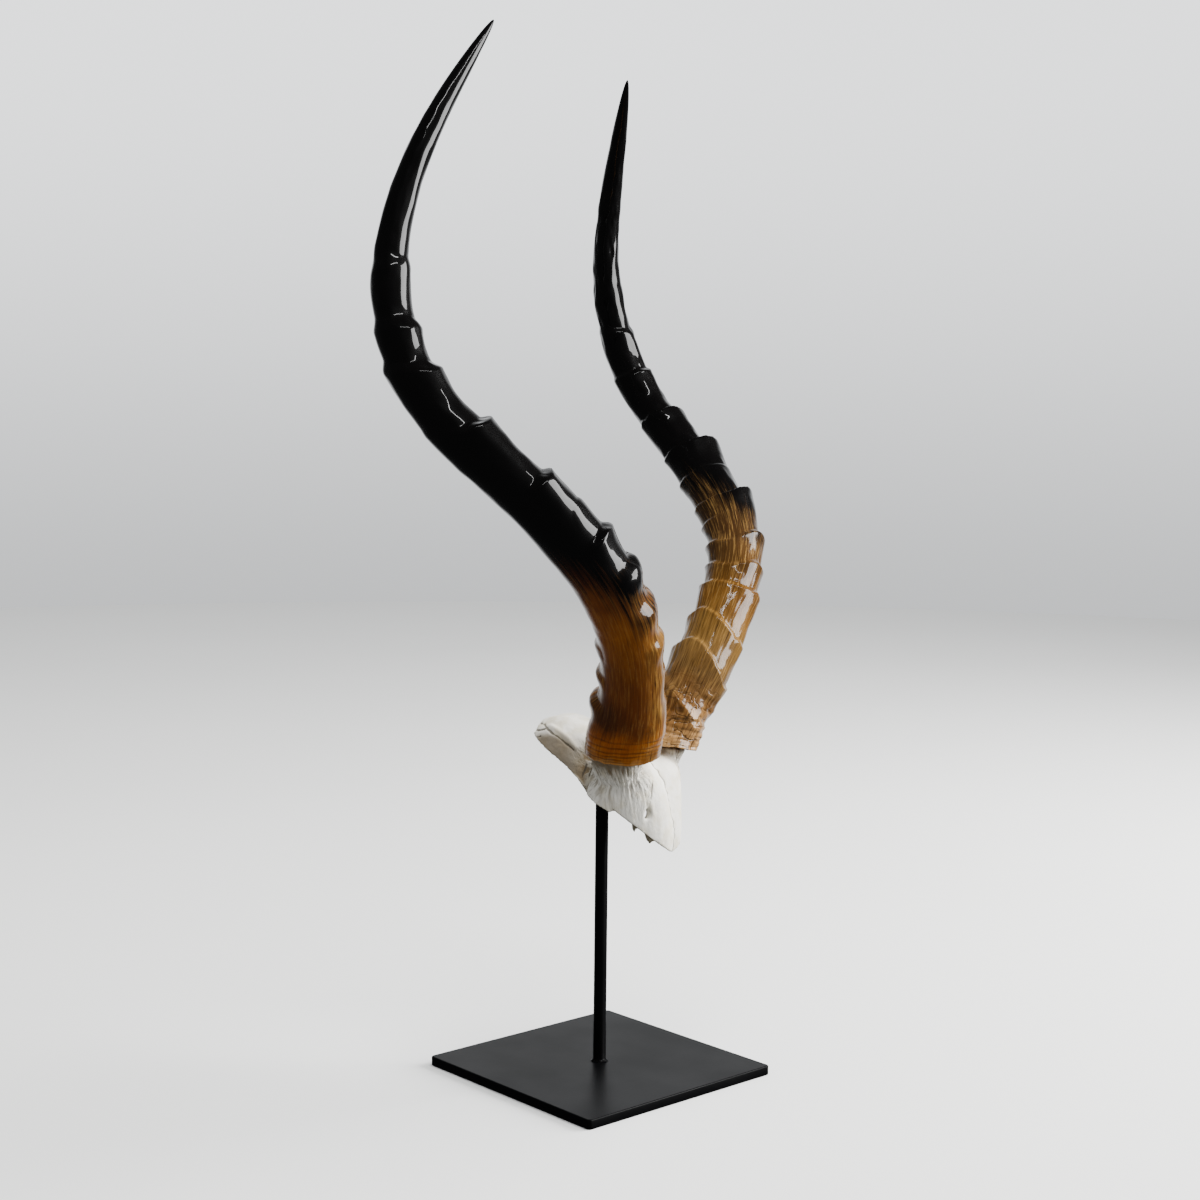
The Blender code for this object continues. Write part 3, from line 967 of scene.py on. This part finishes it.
    def _underside(
        self, rim: np.ndarray, foot: np.ndarray, along: np.ndarray
    ) -> tuple[np.ndarray, np.ndarray]:
        """The rounds of points from the hollow's roof out to the rim.

        Args:
            rim: the rim's points.
            foot: the middle of the foot.
            along: the direction up the horn.

        Returns:
            The rounds, and how far up the horn each counts for its colour.
        """
        spokes = rim - foot
        reach = np.linalg.norm(spokes, axis=1, keepdims=True)
        inside = 1 - self.wall / reach
        edge = 1 - 0.5 / reach
        rounds = [
            foot + spokes * inside * 0.5 + along * self.hollow_depth,
            foot + spokes * (inside - 0.03) + along * self.hollow_depth,
            foot + spokes * inside + along * (self.hollow_depth - 0.6),
            foot + spokes * (inside + 0.01) + along * 0.5,
            foot + spokes * (inside + 0.03) + along * 0.1,
            foot + spokes * edge,
        ]
        return np.array(rounds), np.array([6.0, 6.0, 5.0, 3.0, 1.0, 0.5])

    def _closed_faces(self, rows: int) -> list[list[int]]:
        """The faces over a stack of rounds, with a fan at each end.

        Args:
            rows: how many rounds there are.

        Returns:
            The point numbers of each face, turned to face outwards.
        """
        count = self.sides
        faces = tube_faces(rows, count)
        middle, tip = rows * count, rows * count + 1
        last = (rows - 1) * count
        for j in range(count):
            k = (j + 1) % count
            faces += [[middle, k, j], [tip, last + j, last + k]]
        return [face[::-1] for face in faces] if self.side is Side.RIGHT else faces


# ---------------------------------------------------------------- skull


@dataclass(frozen=True)
class Splinter:
    """A jagged scrap of the inner bone that the saw left hanging below the edge."""

    place: Point
    width: float
    drop: float


@dataclass
class SkullCap:
    """The sawn cap of skull, remeshed finely from its plain solid and carved in detail."""

    feet: tuple[Point, Point]
    foot_axes: tuple[np.ndarray, np.ndarray]
    finish: BleachedBone = field(default_factory=BleachedBone)
    voxel: float = 0.62
    smoothing_rounds: int = 26
    horn_radius: float = 22.5
    meeting: float = -24.0
    long_cut: tuple[float, float] = (186.0, 0.63)
    face_cut: tuple[float, float, float] = (174.3, 0.68, 0.41)
    cut_band: float = 1.6
    ridge: tuple[Point, ...] = (
        (13.5, 39.0, 220.5),
        (15.5, 33.0, 220.0),
        (18.5, 22.0, 215.0),
        (20.5, 13.0, 210.5),
        (23.0, 8.0, 206.5),
    )
    brow_crack: tuple[Point, ...] = ((20, -42, 193), (22, -42.5, 187), (25, -43, 178))
    side_cracks: tuple[tuple[tuple[float, float], ...], ...] = (
        ((38, 217), (33, 217), (21, 211.5), (9, 204.5)),
        ((42, 213), (35, 213.5), (31, 215)),
        ((42, 209), (36, 209.5), (33, 210.5)),
        ((41, 220), (37, 219.5)),
        ((-4, 199), (-3.6, 195), (-2.5, 190)),
        ((0, 198), (1.4, 193), (2, 190)),
    )  # each point's place towards the back and up, cut straight into the side of the skull
    splinters: tuple[Splinter, ...] = (
        Splinter((-28, -30, 164.5), 7.4, 7.0),
        Splinter((-18.5, -38, 156.5), 7.4, 6.0),
        Splinter((22, -34, 159.5), 4.6, 4.6),
    )
    side_facing: float = 0.3  # how far sideways a normal points where the side's cracks may run
    splinter_thickness: float = 2.2
    splinter_inset: float = 1.4  # how far behind the outer face they hang
    splinter_jags: tuple[tuple[float, float], ...] = (
        (-0.5, -0.8),
        (-0.36, 0.45),
        (-0.2, 0.8),
        (-0.02, 1.0),
        (0.1, 0.7),
        (0.3, 0.62),
        (0.5, -0.8),
    )  # their outline, along and down, as shares of their width and drop
    hole: Point = (25.0, -41.0, 170.5)
    hole_size: tuple[float, float] = (2.7, 3.9)
    hole_sides: int = 28
    hole_out: float = 6.0  # how far its cutter starts in front of the bone
    hole_in: float = 12.0  # and how far behind it ends
    hole_narrows: float = 0.75  # share of its size that is left there
    heart: Point = (0.0, -10.0, 178.0)  # in the brain's space: outer faces look away from it
    wrinkle_height: float = 0.75
    wrinkle_size: Point = (1.9, 1.9, 10.0)  # across twice, and away from the horn
    wrinkles_reach: float = 26.0  # how far round a horn's foot the bone is wrinkled
    collar_reach: float = 5.0  # the rough band right under a horn's rim, which painted shade darkens too
    shade_reach: float = 10.0  # and the band round it, darkened with the horn's painted shadow
    temple_depth: float = 2.8
    brow_height: float = 0.7
    brow_at: float = -8.4
    brow_half_width: float = 1.2
    dent_height: float = 0.4
    grain_height: float = 0.1
    ridge_height: float = 0.8
    ridge_half_width: float = 1.5
    crack_depth: float = 0.35
    crack_half_width: float = 0.55
    crack_wander: float = 0.4
    saw_depth: float = 0.3
    no_crack: float = 9.0  # the distance to a crack that is given where there is none

    def build(self) -> bpy.types.Object:
        """Makes the cap's mesh and its finish."""
        cap = self._fine_copy()
        mesh = cap.data
        places = self._numbers(mesh, "co") / MM
        moved, values = self._carve(places, self._numbers(mesh, "normal"))
        mesh.vertices.foreach_set("co", (moved * MM).ravel())
        mesh.update()
        add_values(mesh, values)
        mesh.materials.clear()
        mesh.materials.append(self.finish.build())
        mesh.shade_smooth()
        join_to_model(cap, "skull_cap")
        return cap

    def _numbers(self, mesh: bpy.types.Mesh, label: str) -> np.ndarray:
        """One vector for each point of a mesh, such as its place or its normal."""
        numbers = np.empty(len(mesh.vertices) * 3)
        mesh.vertices.foreach_get(label, numbers)
        return numbers.reshape(-1, 3)

    def _fine_copy(self) -> bpy.types.Object:
        """The plain solid with its small openings cut and bone splinters added, finely remeshed."""
        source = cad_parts["skull_cap"]
        builder = bmesh.new()
        builder.from_mesh(source.data)
        bmesh.ops.remove_doubles(builder, verts=builder.verts, dist=0.002 * MM)
        mesh = bpy.data.meshes.new("skull_cap_rough")
        builder.to_mesh(mesh)
        builder.free()
        rough = show("skull_cap_rough", mesh)
        helpers = [(self._hole_cutter(side), "DIFFERENCE") for side in Side]
        helpers += [(self._splinter_shape(source, splinter), "UNION") for splinter in self.splinters]
        for helper, operation in helpers:
            modifier = rough.modifiers.new(helper.name, "BOOLEAN")
            modifier.operation = operation
            modifier.object = helper
        remesh = rough.modifiers.new("fine", "REMESH")
        remesh.mode = "VOXEL"
        remesh.voxel_size = self.voxel * MM
        bpy.context.view_layer.update()
        graph = bpy.context.evaluated_depsgraph_get()
        fine = bpy.data.meshes.new_from_object(rough.evaluated_get(graph))
        for thing in [rough, *(helper for helper, _ in helpers)]:
            bpy.data.objects.remove(thing)
        cap = show("carved_skull_cap", fine)
        self._smooth(fine)
        return cap

    def _solid(self, name: str, outline: np.ndarray, far_outline: np.ndarray) -> bpy.types.Object:
        """A closed helper between two outlines of the same number of points, in millimetres."""
        mesh = bpy.data.meshes.new(name)
        places = np.concatenate([outline, far_outline]) * MM
        mesh.from_pydata(places.tolist(), [], capped_faces(2, len(outline)))
        builder = bmesh.new()
        builder.from_mesh(mesh)
        bmesh.ops.recalc_face_normals(builder, faces=builder.faces)
        builder.to_mesh(mesh)
        builder.free()
        return show(name, mesh)

    def _hole_cutter(self, side: Side) -> bpy.types.Object:
        """A teardrop-shaped plug that cuts the small opening above each eye."""
        out, back, up = self.hole
        width, height = self.hole_size
        middle = np.array([side.value * out, back, up])
        inward = unit(np.array([-side.value * 0.35, 1.0, 0.05]))
        across = unit(np.cross(inward, (0, 0, 1)))
        rise = np.cross(across, inward)
        turns = 2 * math.pi * np.arange(self.hole_sides) / self.hole_sides
        pinch = 0.45 + 0.275 * (1 - np.sin(turns))
        sideways = width * np.cos(turns) * pinch
        drop = across * sideways[:, None] + rise * (height * np.sin(turns))[:, None]
        near_end = middle - self.hole_out * inward + drop
        far_end = middle + self.hole_in * inward + self.hole_narrows * drop
        return self._solid(f"hole_plug_{side.name}", near_end, far_end)

    def _splinter_shape(self, source: bpy.types.Object, splinter: Splinter) -> bpy.types.Object:
        """A jagged flat scrap just behind the skull's outer face.

        Args:
            source: the skull's plain solid.
            splinter: where and how big the scrap is.

        Returns:
            The scrap, as a helper to join on.
        """
        _, on_face, normal, _ = source.closest_point_on_mesh(Vector(splinter.place) * MM)
        outward = unit(np.array([normal.x, normal.y, 0.0]))
        slope = np.array([-outward[1], outward[0], 0.0])
        start = np.array(on_face) / MM - outward * self.splinter_inset
        outline = np.array(
            [
                start + slope * along * splinter.width - (0, 0, down * splinter.drop)
                for along, down in self.splinter_jags
            ]
        )
        return self._solid("splinter", outline, outline - outward * self.splinter_thickness)

    def _above_saw(self, places: np.ndarray) -> np.ndarray:
        """How far each place is above the saw cuts."""
        out, back, up = np.abs(places[:, 0]), places[:, 1], places[:, 2]
        long_cut = up - self.long_cut[0] - self.long_cut[1] * back
        face_cut = up - self.face_cut[0] - self.face_cut[1] * back - self.face_cut[2] * out
        return np.where(back > self.meeting, long_cut, face_cut)

    def _smooth(self, mesh: bpy.types.Mesh) -> None:
        """Smooths a mesh's facets away, but keeps its sawn edges crisp.

        Args:
            mesh: the mesh, changed in place.
        """
        edges = np.empty(len(mesh.edges) * 2, np.int64)
        mesh.edges.foreach_get("vertices", edges)
        edges = edges.reshape(-1, 2)
        places = self._numbers(mesh, "co")
        count = len(places)
        from_saw = np.abs(self._above_saw(places / MM))[:, None]
        free = 0.5 * ease((from_saw - 0.5 * self.cut_band) / self.cut_band)
        degree = np.bincount(edges.ravel(), minlength=count)[:, None]
        for _ in range(self.smoothing_rounds):
            total = np.zeros_like(places)
            for axis in range(3):
                total[:, axis] += np.bincount(edges[:, 0], places[edges[:, 1], axis], count)
                total[:, axis] += np.bincount(edges[:, 1], places[edges[:, 0], axis], count)
            places += free * (total / degree - places)
        mesh.vertices.foreach_set("co", places.ravel())
        mesh.update()

    def _carve(self, places: np.ndarray, normals: np.ndarray) -> tuple[np.ndarray, dict[str, np.ndarray]]:
        """Moves each point for the wrinkles, ridges and cracks of the bone.

        Args:
            places: the points.
            normals: the direction out of the surface at each.

        Returns:
            The moved points, and the values that the finish reads.
        """
        out, back, up = np.abs(places[:, 0]), places[:, 1], places[:, 2]
        folded = np.stack([out, back, up], axis=1)
        outer = ease(0.5 + 2.0 * np.sum(unit(places - self.heart) * normals, axis=1))
        above = self._above_saw(places)
        sawn = ease((0.9 - above) / 0.7) * ease(0.5 - 2.0 * normals[:, 2])
        skin = outer * (1 - sawn)
        down, spread = self._from_horns(places)
        rough = skin * near(down, self.wrinkles_reach) * ease((out - 15) / 10) * ease((12 - back) / 8)
        under_rim = skin * near(down, self.collar_reach)
        rough = np.maximum(rough, 0.7 * under_rim)
        wrinkles = Bumps(51, 3).at(spread / self.wrinkle_size)
        temple = skin * ease((back + 7.2) / 1.4) * ease((10 - back) / 12) * ease((out - 18) / 7)
        brow = skin * near(back - self.brow_at, self.brow_half_width) * ease((out - 20) / 6)
        ridge = distance_to_line(folded, self.ridge)
        wander = self.crack_wander * Bumps(54, 3).at(places / 2.5)
        crack = np.abs(distance_to_line(folded, self.brow_crack) + wander)
        sideways = (np.abs(normals[:, 0]) > self.side_facing) & (back > self.meeting)
        for line in self.side_cracks:
            gap = np.abs(distance_to_line(folded[:, 1:], line) + wander)
            crack = np.where(sideways, np.minimum(crack, gap), crack)
        # The seam down the middle of the brow is a zigzag that sways from side to side
        zigzag = 0.5 * np.sin(up / 0.9 + 1.5 * np.sin(up / 3.1)) + 0.9 * np.sin(up / 5.2)
        seam = np.where((back < -6) & (outer > 0.5), np.abs(places[:, 0] + zigzag), self.no_crack)
        crack = np.where(outer > 0.5, np.minimum(crack, seam), self.no_crack)
        gap = np.hypot((out - self.hole[0]) / 1.2, (up - self.hole[2]) / 1.8)
        crack = np.where(back < self.meeting, np.minimum(crack, np.maximum(gap - 1.0, 0)), crack)
        height = (
            self.wrinkle_height * rough * wrinkles
            - self.temple_depth * temple
            + self.brow_height * brow
            + self.dent_height * Bumps(52, 2).at(places / 15.0) * (1 - sawn)
            + self.grain_height * Bumps(53, 3).at(places / 2.6)
            + self.ridge_height * near(ridge, self.ridge_half_width) * outer
            - self.crack_depth * near(crack, self.crack_half_width) * outer
            - self.saw_depth * sawn * np.abs(Bumps(55, 3).at(places / 1.8))
        )
        # Painted shade: the wrinkles' troughs, the bone under each horn's rim, the band round it where the
        # horn's shadow falls, the temple's recess and the sides that face down are darkened in the colour
        dip = 0.6 * ease((-wrinkles * rough - 0.05) / 0.5)
        # painted shade on the sides that face down, where the bone turns away from the light
        dust_and_painted_shade = 0.85 * ease((0.8 - normals[:, 2]) / 0.6) * ease((back + 4) / 6) * skin
        shade = skin * near(down, self.shade_reach) * ease((back + 43) / 13)
        values = {
            "cavity": np.clip(dip + 0.5 * under_rim + 0.85 * shade + 0.25 * temple + dust_and_painted_shade, 0, 1),
            "sawn": sawn,
            "inner": 1 - outer,
            "crack_mm": crack,
            "rough": rough,
            "spread": spread,
        }
        return places + normals * height[:, None], values

    def _from_horns(self, places: np.ndarray) -> tuple[np.ndarray, np.ndarray]:
        """How each place lies from the rim of the nearer horn.

        Args:
            places: the points.

        Returns:
            How far down and out from the rim each place is, and coordinates whose third part runs
            that way, so that streaks drawn on them spread out from the horn.
        """
        left = places[:, 0] > 0
        foot = np.where(left[:, None], self.feet[0], self.feet[1])
        axis = np.where(left[:, None], self.foot_axes[0], self.foot_axes[1])
        away = places - foot
        along = np.sum(away * axis, axis=1)
        sideways = away - along[:, None] * axis
        reach = np.linalg.norm(sideways, axis=1)
        circle = sideways / np.maximum(reach, 1e-6)[:, None] * self.horn_radius
        down = np.maximum(-along, 0) + np.maximum(reach - self.horn_radius, 0)
        spread = np.stack([circle[:, 0], circle[:, 1] + 0.3 * down, down], axis=1)
        return down, spread


# ---------------------------------------------------------------- stand


@dataclass
class Stand:
    """The square steel plate and the rod welded to it."""

    finish: PowderCoat = field(default_factory=PowderCoat)
    side: float = 150.0
    thickness: float = 6.0
    corner_radius: float = 2.5
    corner_steps: int = 10
    edge_radius: float = 0.8
    edge_steps: int = 5
    turn: float = math.radians(-24)
    rod_radius: float = 4.0
    rod_sides: int = 72
    weld_height: float = 1.6
    weld_width: float = 1.4
    weld_rounds: int = 9
    weld_hollow: float = 1.8  # power of its outline: above 1 it curves inwards
    weld_ripples: int = 9
    weld_ripple_height: float = 0.16
    rod_rounds: int = 40
    chamfer: float = 0.6
    sharp: float = math.radians(40)

    def build(self) -> list[bpy.types.Object]:
        """Makes both pieces with one coat over them."""
        coat = self.finish.build()
        return [self._plate(coat), self._rod(coat)]

    def _plate(self, coat: bpy.types.Material) -> bpy.types.Object:
        """The plate, lofted through rounded squares that follow its eased edges."""
        half = self.side / 2 - self.corner_radius
        quarter = np.linspace(0, math.pi / 2, self.corner_steps)
        turns = np.concatenate([quarter + math.pi / 2 * corner for corner in range(4)])
        corners = np.array([(half, half), (-half, half), (-half, -half), (half, -half)])
        centres = np.repeat(corners, self.corner_steps, axis=0)
        rays = np.stack([np.cos(turns), np.sin(turns)], axis=1)
        swing = np.linspace(0, math.pi / 2, self.edge_steps)
        eased = self.edge_radius * (1 - np.stack([np.sin(swing), np.cos(swing)], axis=1))
        upper = np.stack([eased[::-1, 0], self.thickness - eased[::-1, 1]], axis=1)
        cosine, sine = math.cos(self.turn), math.sin(self.turn)
        turned = np.array([(cosine, sine), (-sine, cosine)])
        rounds = []
        for shrink, up in np.concatenate([eased, upper]):
            flat = (centres + rays * (self.corner_radius - shrink)) @ turned
            rounds.append(np.column_stack([flat, np.full(len(flat), up)]))
        faces = capped_faces(len(rounds), len(turns))
        plate = make_mesh("square_base_plate", np.concatenate(rounds), faces, coat)
        plate.data.set_sharp_from_angle(angle=self.sharp)
        for cap in plate.data.polygons[-2:]:
            cap.use_smooth = False
        join_to_model(plate, "base_plate")
        return plate

    def _rod(self, coat: bpy.types.Material) -> bpy.types.Object:
        """The rod, turned from its outline, with a rippled bead of weld round its foot."""
        foot, top = (corner.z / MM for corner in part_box("stem_rod"))
        radius = self.rod_radius
        outline = [(radius + self.weld_width, foot)]
        for share in np.linspace(0.12, 1, self.weld_rounds):
            bulge = self.weld_width * (1 - share) ** self.weld_hollow
            outline.append((radius + bulge, foot + self.weld_height * share))
        outline += [(radius, up) for up in np.linspace(foot + 6, top - 4, self.rod_rounds)]
        outline += [(radius, top - self.chamfer), (radius - self.chamfer, top)]
        turns = 2 * math.pi * np.arange(self.rod_sides) / self.rod_sides
        rounds = []
        for across, up in outline:
            share = min(1.0, max(0.0, (across - radius) / 0.3))
            reach = across + share * self.weld_ripple_height * np.sin(self.weld_ripples * turns)
            rounds.append(np.stack([reach * np.cos(turns), reach * np.sin(turns), 0 * turns + up], axis=1))
        faces = capped_faces(len(outline), len(turns))
        rod = make_mesh("welded_stem_rod", np.concatenate(rounds), faces, coat)
        rod.data.set_sharp_from_angle(angle=self.sharp)
        join_to_model(rod, "stem_rod")
        return rod


# ---------------------------------------------------------------- studio


@dataclass(frozen=True)
class Softbox:
    """One soft rectangular light, with its places and sizes in metres and its power in watts."""

    name: str
    place: Point
    aim: Point
    size: tuple[float, float]
    watts: float
    mirrored: bool = True  # whether glossy things show it
    lighting: bool = True  # whether it lights matt things


@dataclass
class Studio:
    """A pale floor in a pale room, soft lights and the camera."""

    camera_place: Point = (-1.1091, -0.4909, 0.4114)
    camera_heading: float = math.radians(24.0)
    camera_pitch: float = math.radians(-5.52)
    camera_roll: float = math.radians(0.61)
    camera_lens: float = 60.0
    floor_radius: float = 3.0
    room_colour: str = "#eef0f2"
    horizon_strength: float = 0.95
    backdrop_strength: float = 2.4
    near_dome_strength: float = 0.42
    far_dome_strength: float = 1.1
    bright_way: Point = (0.78, -0.33, 0.53)  # where most of the room's light comes from
    near_wall_strength: float = 0.06
    far_wall_strength: float = 1.1
    far_wall_heading: float = math.radians(24.0)
    softboxes: tuple[Softbox, ...] = (
        Softbox("window_light", (0.4, -1.6, 0.75), (0, 0, 0.4), (1.2, 1.4), 52.0, lighting=False),
        Softbox("key_light", (1.0, -1.3, 0.85), (0, 0, 0.3), (1.0, 1.2), 95.0, mirrored=False),
        Softbox("ceiling_strip", (-1.0, -1.1, 1.9), (0, 0, 0.4), (1.5, 0.05), 6.0),
        Softbox("overhead_light", (0.1, -0.6, 2.1), (0, 0, 0.2), (1.0, 1.0), 52.0, mirrored=False),
    )

    def build(self) -> None:
        """Sets up everything round the object."""
        self._camera()
        self._floor()
        self._world()
        for softbox in self.softboxes:
            self._light(softbox)

    def _camera(self) -> None:
        """Puts the camera at the chosen viewing angle."""
        heading, pitch, roll = self.camera_heading, self.camera_pitch, self.camera_roll
        flat = math.cos(pitch)
        forward = Vector((flat * math.cos(heading), flat * math.sin(heading), math.sin(pitch)))
        level = forward.cross(Vector((0, 0, 1))).normalized()
        right = math.cos(roll) * level + math.sin(roll) * level.cross(forward)
        turn = Matrix((right, right.cross(forward), -forward)).transposed().to_4x4()
        lens = bpy.data.cameras.new("camera")
        lens.lens = self.camera_lens
        lens.clip_start = 0.01
        camera = show("camera", lens)
        camera.matrix_world = Matrix.Translation(self.camera_place) @ turn
        bpy.context.scene.camera = camera

    def _floor(self) -> None:
        """Lays the pale floor."""
        builder = bmesh.new()
        bmesh.ops.create_circle(builder, cap_ends=True, segments=64, radius=self.floor_radius)
        mesh = bpy.data.meshes.new("floor")
        builder.to_mesh(mesh)
        builder.free()
        mesh.materials.append(MattPaper().build())
        floor = show("floor", mesh)
        floor.visible_glossy = False
        floor.visible_diffuse = False

    def _world(self) -> None:
        """A pale room that is bright beyond the object and dim behind the camera."""
        world = bpy.data.worlds.new("pale_room")
        world.use_nodes = True
        tree = world.node_tree
        tree.nodes.clear()
        rays = add_node(tree, "LightPath").outputs
        way = add_node(tree, "TexCoord").outputs["Generated"]
        far = (math.cos(self.far_wall_heading), math.sin(self.far_wall_heading), 0.0)
        facing, lit = (
            add_node(tree, "VectorMath", {"operation": "DOT_PRODUCT"}, {0: way, 1: other}).outputs["Value"]
            for other in (far, self.bright_way)
        )
        up = add_node(tree, "SeparateXYZ", inputs={0: way}).outputs["Z"]
        tone = linear(self.room_colour)
        backgrounds = []
        for value, start, end, near_strength, far_strength in (
            (facing, 0.55, 0.95, self.near_wall_strength, self.far_wall_strength),
            (lit, -0.7, 0.9, self.near_dome_strength, self.far_dome_strength),
            (up, -0.12, 0.2, self.horizon_strength, self.backdrop_strength),
        ):
            reach = {"Value": value, "From Min": start, "From Max": end}
            reach |= {"To Min": near_strength, "To Max": far_strength}
            strength = add_node(tree, "MapRange", SOFT, reach).outputs["Result"]
            backgrounds.append(add_node(tree, "Background", inputs={"Color": tone, "Strength": strength}))
        glossy, room, visible = backgrounds
        for ray, seen in (("Is Glossy Ray", glossy), ("Is Camera Ray", visible)):
            inputs = {0: rays[ray], 1: room.outputs[0], 2: seen.outputs[0]}
            room = add_node(tree, "MixShader", inputs=inputs)
        add_node(tree, "OutputWorld", inputs={"Surface": room.outputs[0]})
        world.cycles.sampling_method = "NONE"
        bpy.context.scene.world = world

    def _light(self, softbox: Softbox) -> None:
        """Hangs one soft light."""
        lamp = bpy.data.lights.new(softbox.name, "AREA")
        lamp.shape = "RECTANGLE"
        lamp.size, lamp.size_y = softbox.size
        lamp.energy = softbox.watts
        light = show(softbox.name, lamp)
        light.visible_glossy = softbox.mirrored
        light.visible_diffuse = softbox.lighting
        turn = (Vector(softbox.aim) - Vector(softbox.place)).to_track_quat("-Z", "Y")
        light.matrix_world = Matrix.Translation(softbox.place) @ turn.to_matrix().to_4x4()


# ---------------------------------------------------------------- the whole


RIGHT_SWELLS = (
    Swell(16, 18, 160, 3.6),
    Swell(24, 16, -24, 2.2),
    Swell(150, 52, 152, 4.2),
    Swell(250, 60, 152, 2.2),
)
LEFT_SWELLS = (
    Swell(22, 16, 24, -2.3),
    Swell(84, 22, 24, 1.3),
    Swell(190, 50, 204, 3.0),
)
RIGHT_RINGS = (
    Ring(40, 38, 38, front=0.4, inner=3.0, back=4.8, outer=-2.4, rise=14, fall=6, rounded=True),
    Ring(62, 60, 60, front=0.6, inner=3.0, back=3.4, outer=-2.2, rise=13, fall=6, rounded=True),
    Ring(86, 85, 85, front=1.8, inner=3.0, back=2.9, outer=-2.2, rise=14, fall=6, rounded=True),
    Ring(109, 110, 112, front=2.6, inner=2.8, back=0.4, outer=-1.2, rise=16, fall=9, rounded=True),
    Ring(135, 130, 134, front=4.0, inner=3.2, back=0.2, outer=-1.4, rise=15, fall=6, rounded=True),
    Ring(159, 150, 155, front=4.2, inner=3.2, back=0.2, outer=-1.6, rise=15, fall=4),
    Ring(178, 172, 175, front=0.8, inner=2.6, back=0.2, outer=-1.6, rise=12, fall=6, rounded=True),
    Ring(199, 200, 200, front=4.2, inner=3.4, back=0.2, outer=-1.8, rise=30, fall=5),
    Ring(242, 262, 250, front=4.8, inner=4.0, back=0.8, outer=0.5, rise=34, fall=6),
    Ring(285, 298, 292, front=3.2, inner=3.2, back=2.6, outer=1.6, rise=26, fall=8),
    Ring(314, 318, 316, front=2.4, inner=2.4, back=2.0, outer=1.4, rise=18, fall=9),
    Ring(351, 347, 349, front=1.4, inner=1.4, back=1.4, outer=1.3, rise=24, fall=10, rounded=True),
)
LEFT_RINGS = (
    Ring(17, 40, 30, front=1.6, inner=1.8, back=2.0, outer=-1.0, rise=10, fall=5),
    Ring(47, 56, 65, front=3.4, inner=2.4, back=3.2, outer=-1.0, rise=24),
    Ring(74, 81, 85, front=1.4, inner=1.8, back=2.9, outer=-1.0),
    Ring(107, 107, 105, front=3.4, inner=2.0, back=2.8, outer=-1.0, rise=20, fall=3.6),
    Ring(126, 127, 118, front=2.8, inner=1.9, back=2.8, outer=-1.0, rise=16, fall=3.6),
    Ring(149, 144, 138, front=3.6, inner=2.0, back=2.8, outer=-1.0, rise=18, fall=3.2),
    Ring(168, 165, 162, front=0.0, inner=1.3, back=2.4, outer=-1.0),
    Ring(181, 183, 177, front=6.4, inner=2.6, back=2.0, outer=-1.4, rise=26, fall=1.8),
    Ring(203, 210, 205, front=1.6, inner=1.6, back=2.0, outer=-1.0),
    Ring(225, 234, 230, front=7.2, inner=3.0, back=1.4, outer=-1.6, rise=30, fall=1.8),
    Ring(260, 266, 264, front=3.6, inner=2.4, back=1.2, outer=-0.6, rise=26),
    Ring(298, 302, 300, front=2.4, inner=2.0, back=1.0, outer=0.0, rise=28, fall=4),
    Ring(329, 334, 332, front=1.8, inner=1.6, back=1.0, outer=0.4, rise=26, fall=6),
    Ring(357, 360, 358, front=1.0, inner=1.0, back=0.8, outer=0.6, rise=26, fall=10, rounded=True),
)


def build_horns() -> dict[Side, Horn]:
    """Describes both horns with their finishes."""
    amber = LacqueredHorn(
        name="horn_keratin_amber_lacquered",
        tones=(
            (2, "#b98040"),
            (8, "#ac6010"),
            (18, "#a05206"),
            (32, "#6a3404"),
            (50, "#683204"),
            (78, "#703a04"),
            (104, "#8c4e0c"),
            (124, "#743c08"),
            (146, "#522204"),
        ),
        fibre_light="#ae823e",
        fibre_dark="#2c1402",
        worn="#6c4a1c",
        dark_from_mm=127.0,
        dark_over_mm=50.0,
        front_darkens_mm=52.0,
        stains=(((-9, 18, 36), 16.0),),
    )
    olive = LacqueredHorn(
        name="horn_keratin_olive_lacquered",
        tones=(
            (4, "#c89a62"),
            (12, "#ba8c58"),
            (22, "#8a6032"),
            (30, "#6e4a26"),
            (50, "#6e5430"),
            (78, "#7e5c28"),
            (98, "#6a4412"),
            (118, "#442a08"),
            (136, "#3c2610"),
            (152, "#28160a"),
            (176, "#1e1006"),
        ),
        fibre_light="#9a7640",
        fibre_dark="#38240c",
        worn="#80592a",
        dark_from_mm=170.0,
        dark_over_mm=44.0,
        front_darkens_mm=48.0,
        stains=(((20, -6, 147), 9.0),),
        worn_most=0.3,
        outer_calm=0.6,
    )
    left = Horn(
        side=Side.LEFT,
        foot=(31, -29, 202),
        tip=(91, 28, 620),
        rings=LEFT_RINGS,
        swells=LEFT_SWELLS,
        finish=olive,
        rough_foot=42.0,
        rough_height=1.3,
        dent_height=0.75,
        seed=11,
    )
    right = Horn(
        side=Side.RIGHT,
        foot=(32, -29, 207),
        tip=(91, 31, 626),
        rings=RIGHT_RINGS,
        swells=RIGHT_SWELLS,
        finish=amber,
        rough_foot=14.0,
        rough_height=0.3,
        dent_height=0.35,
        seed=31,
    )
    return {Side.LEFT: left, Side.RIGHT: right}


def main() -> None:
    """Builds the studio and every piece, and reports each."""
    logging.basicConfig(level=logging.INFO, format="%(name)s: %(message)s")
    Studio().build()
    for piece in Stand().build():
        LOG.info("%s is done", piece.name)
    horns = build_horns()
    for horn in horns.values():
        LOG.info("%s is done", horn.build().name)
    feet = tuple((side.value * horns[side].foot[0], *horns[side].foot[1:]) for side in Side)
    cap = SkullCap(feet, tuple(horns[side].foot_axis() for side in Side))
    LOG.info("%s is done", cap.build().name)


if __name__ == "__main__":
    main()
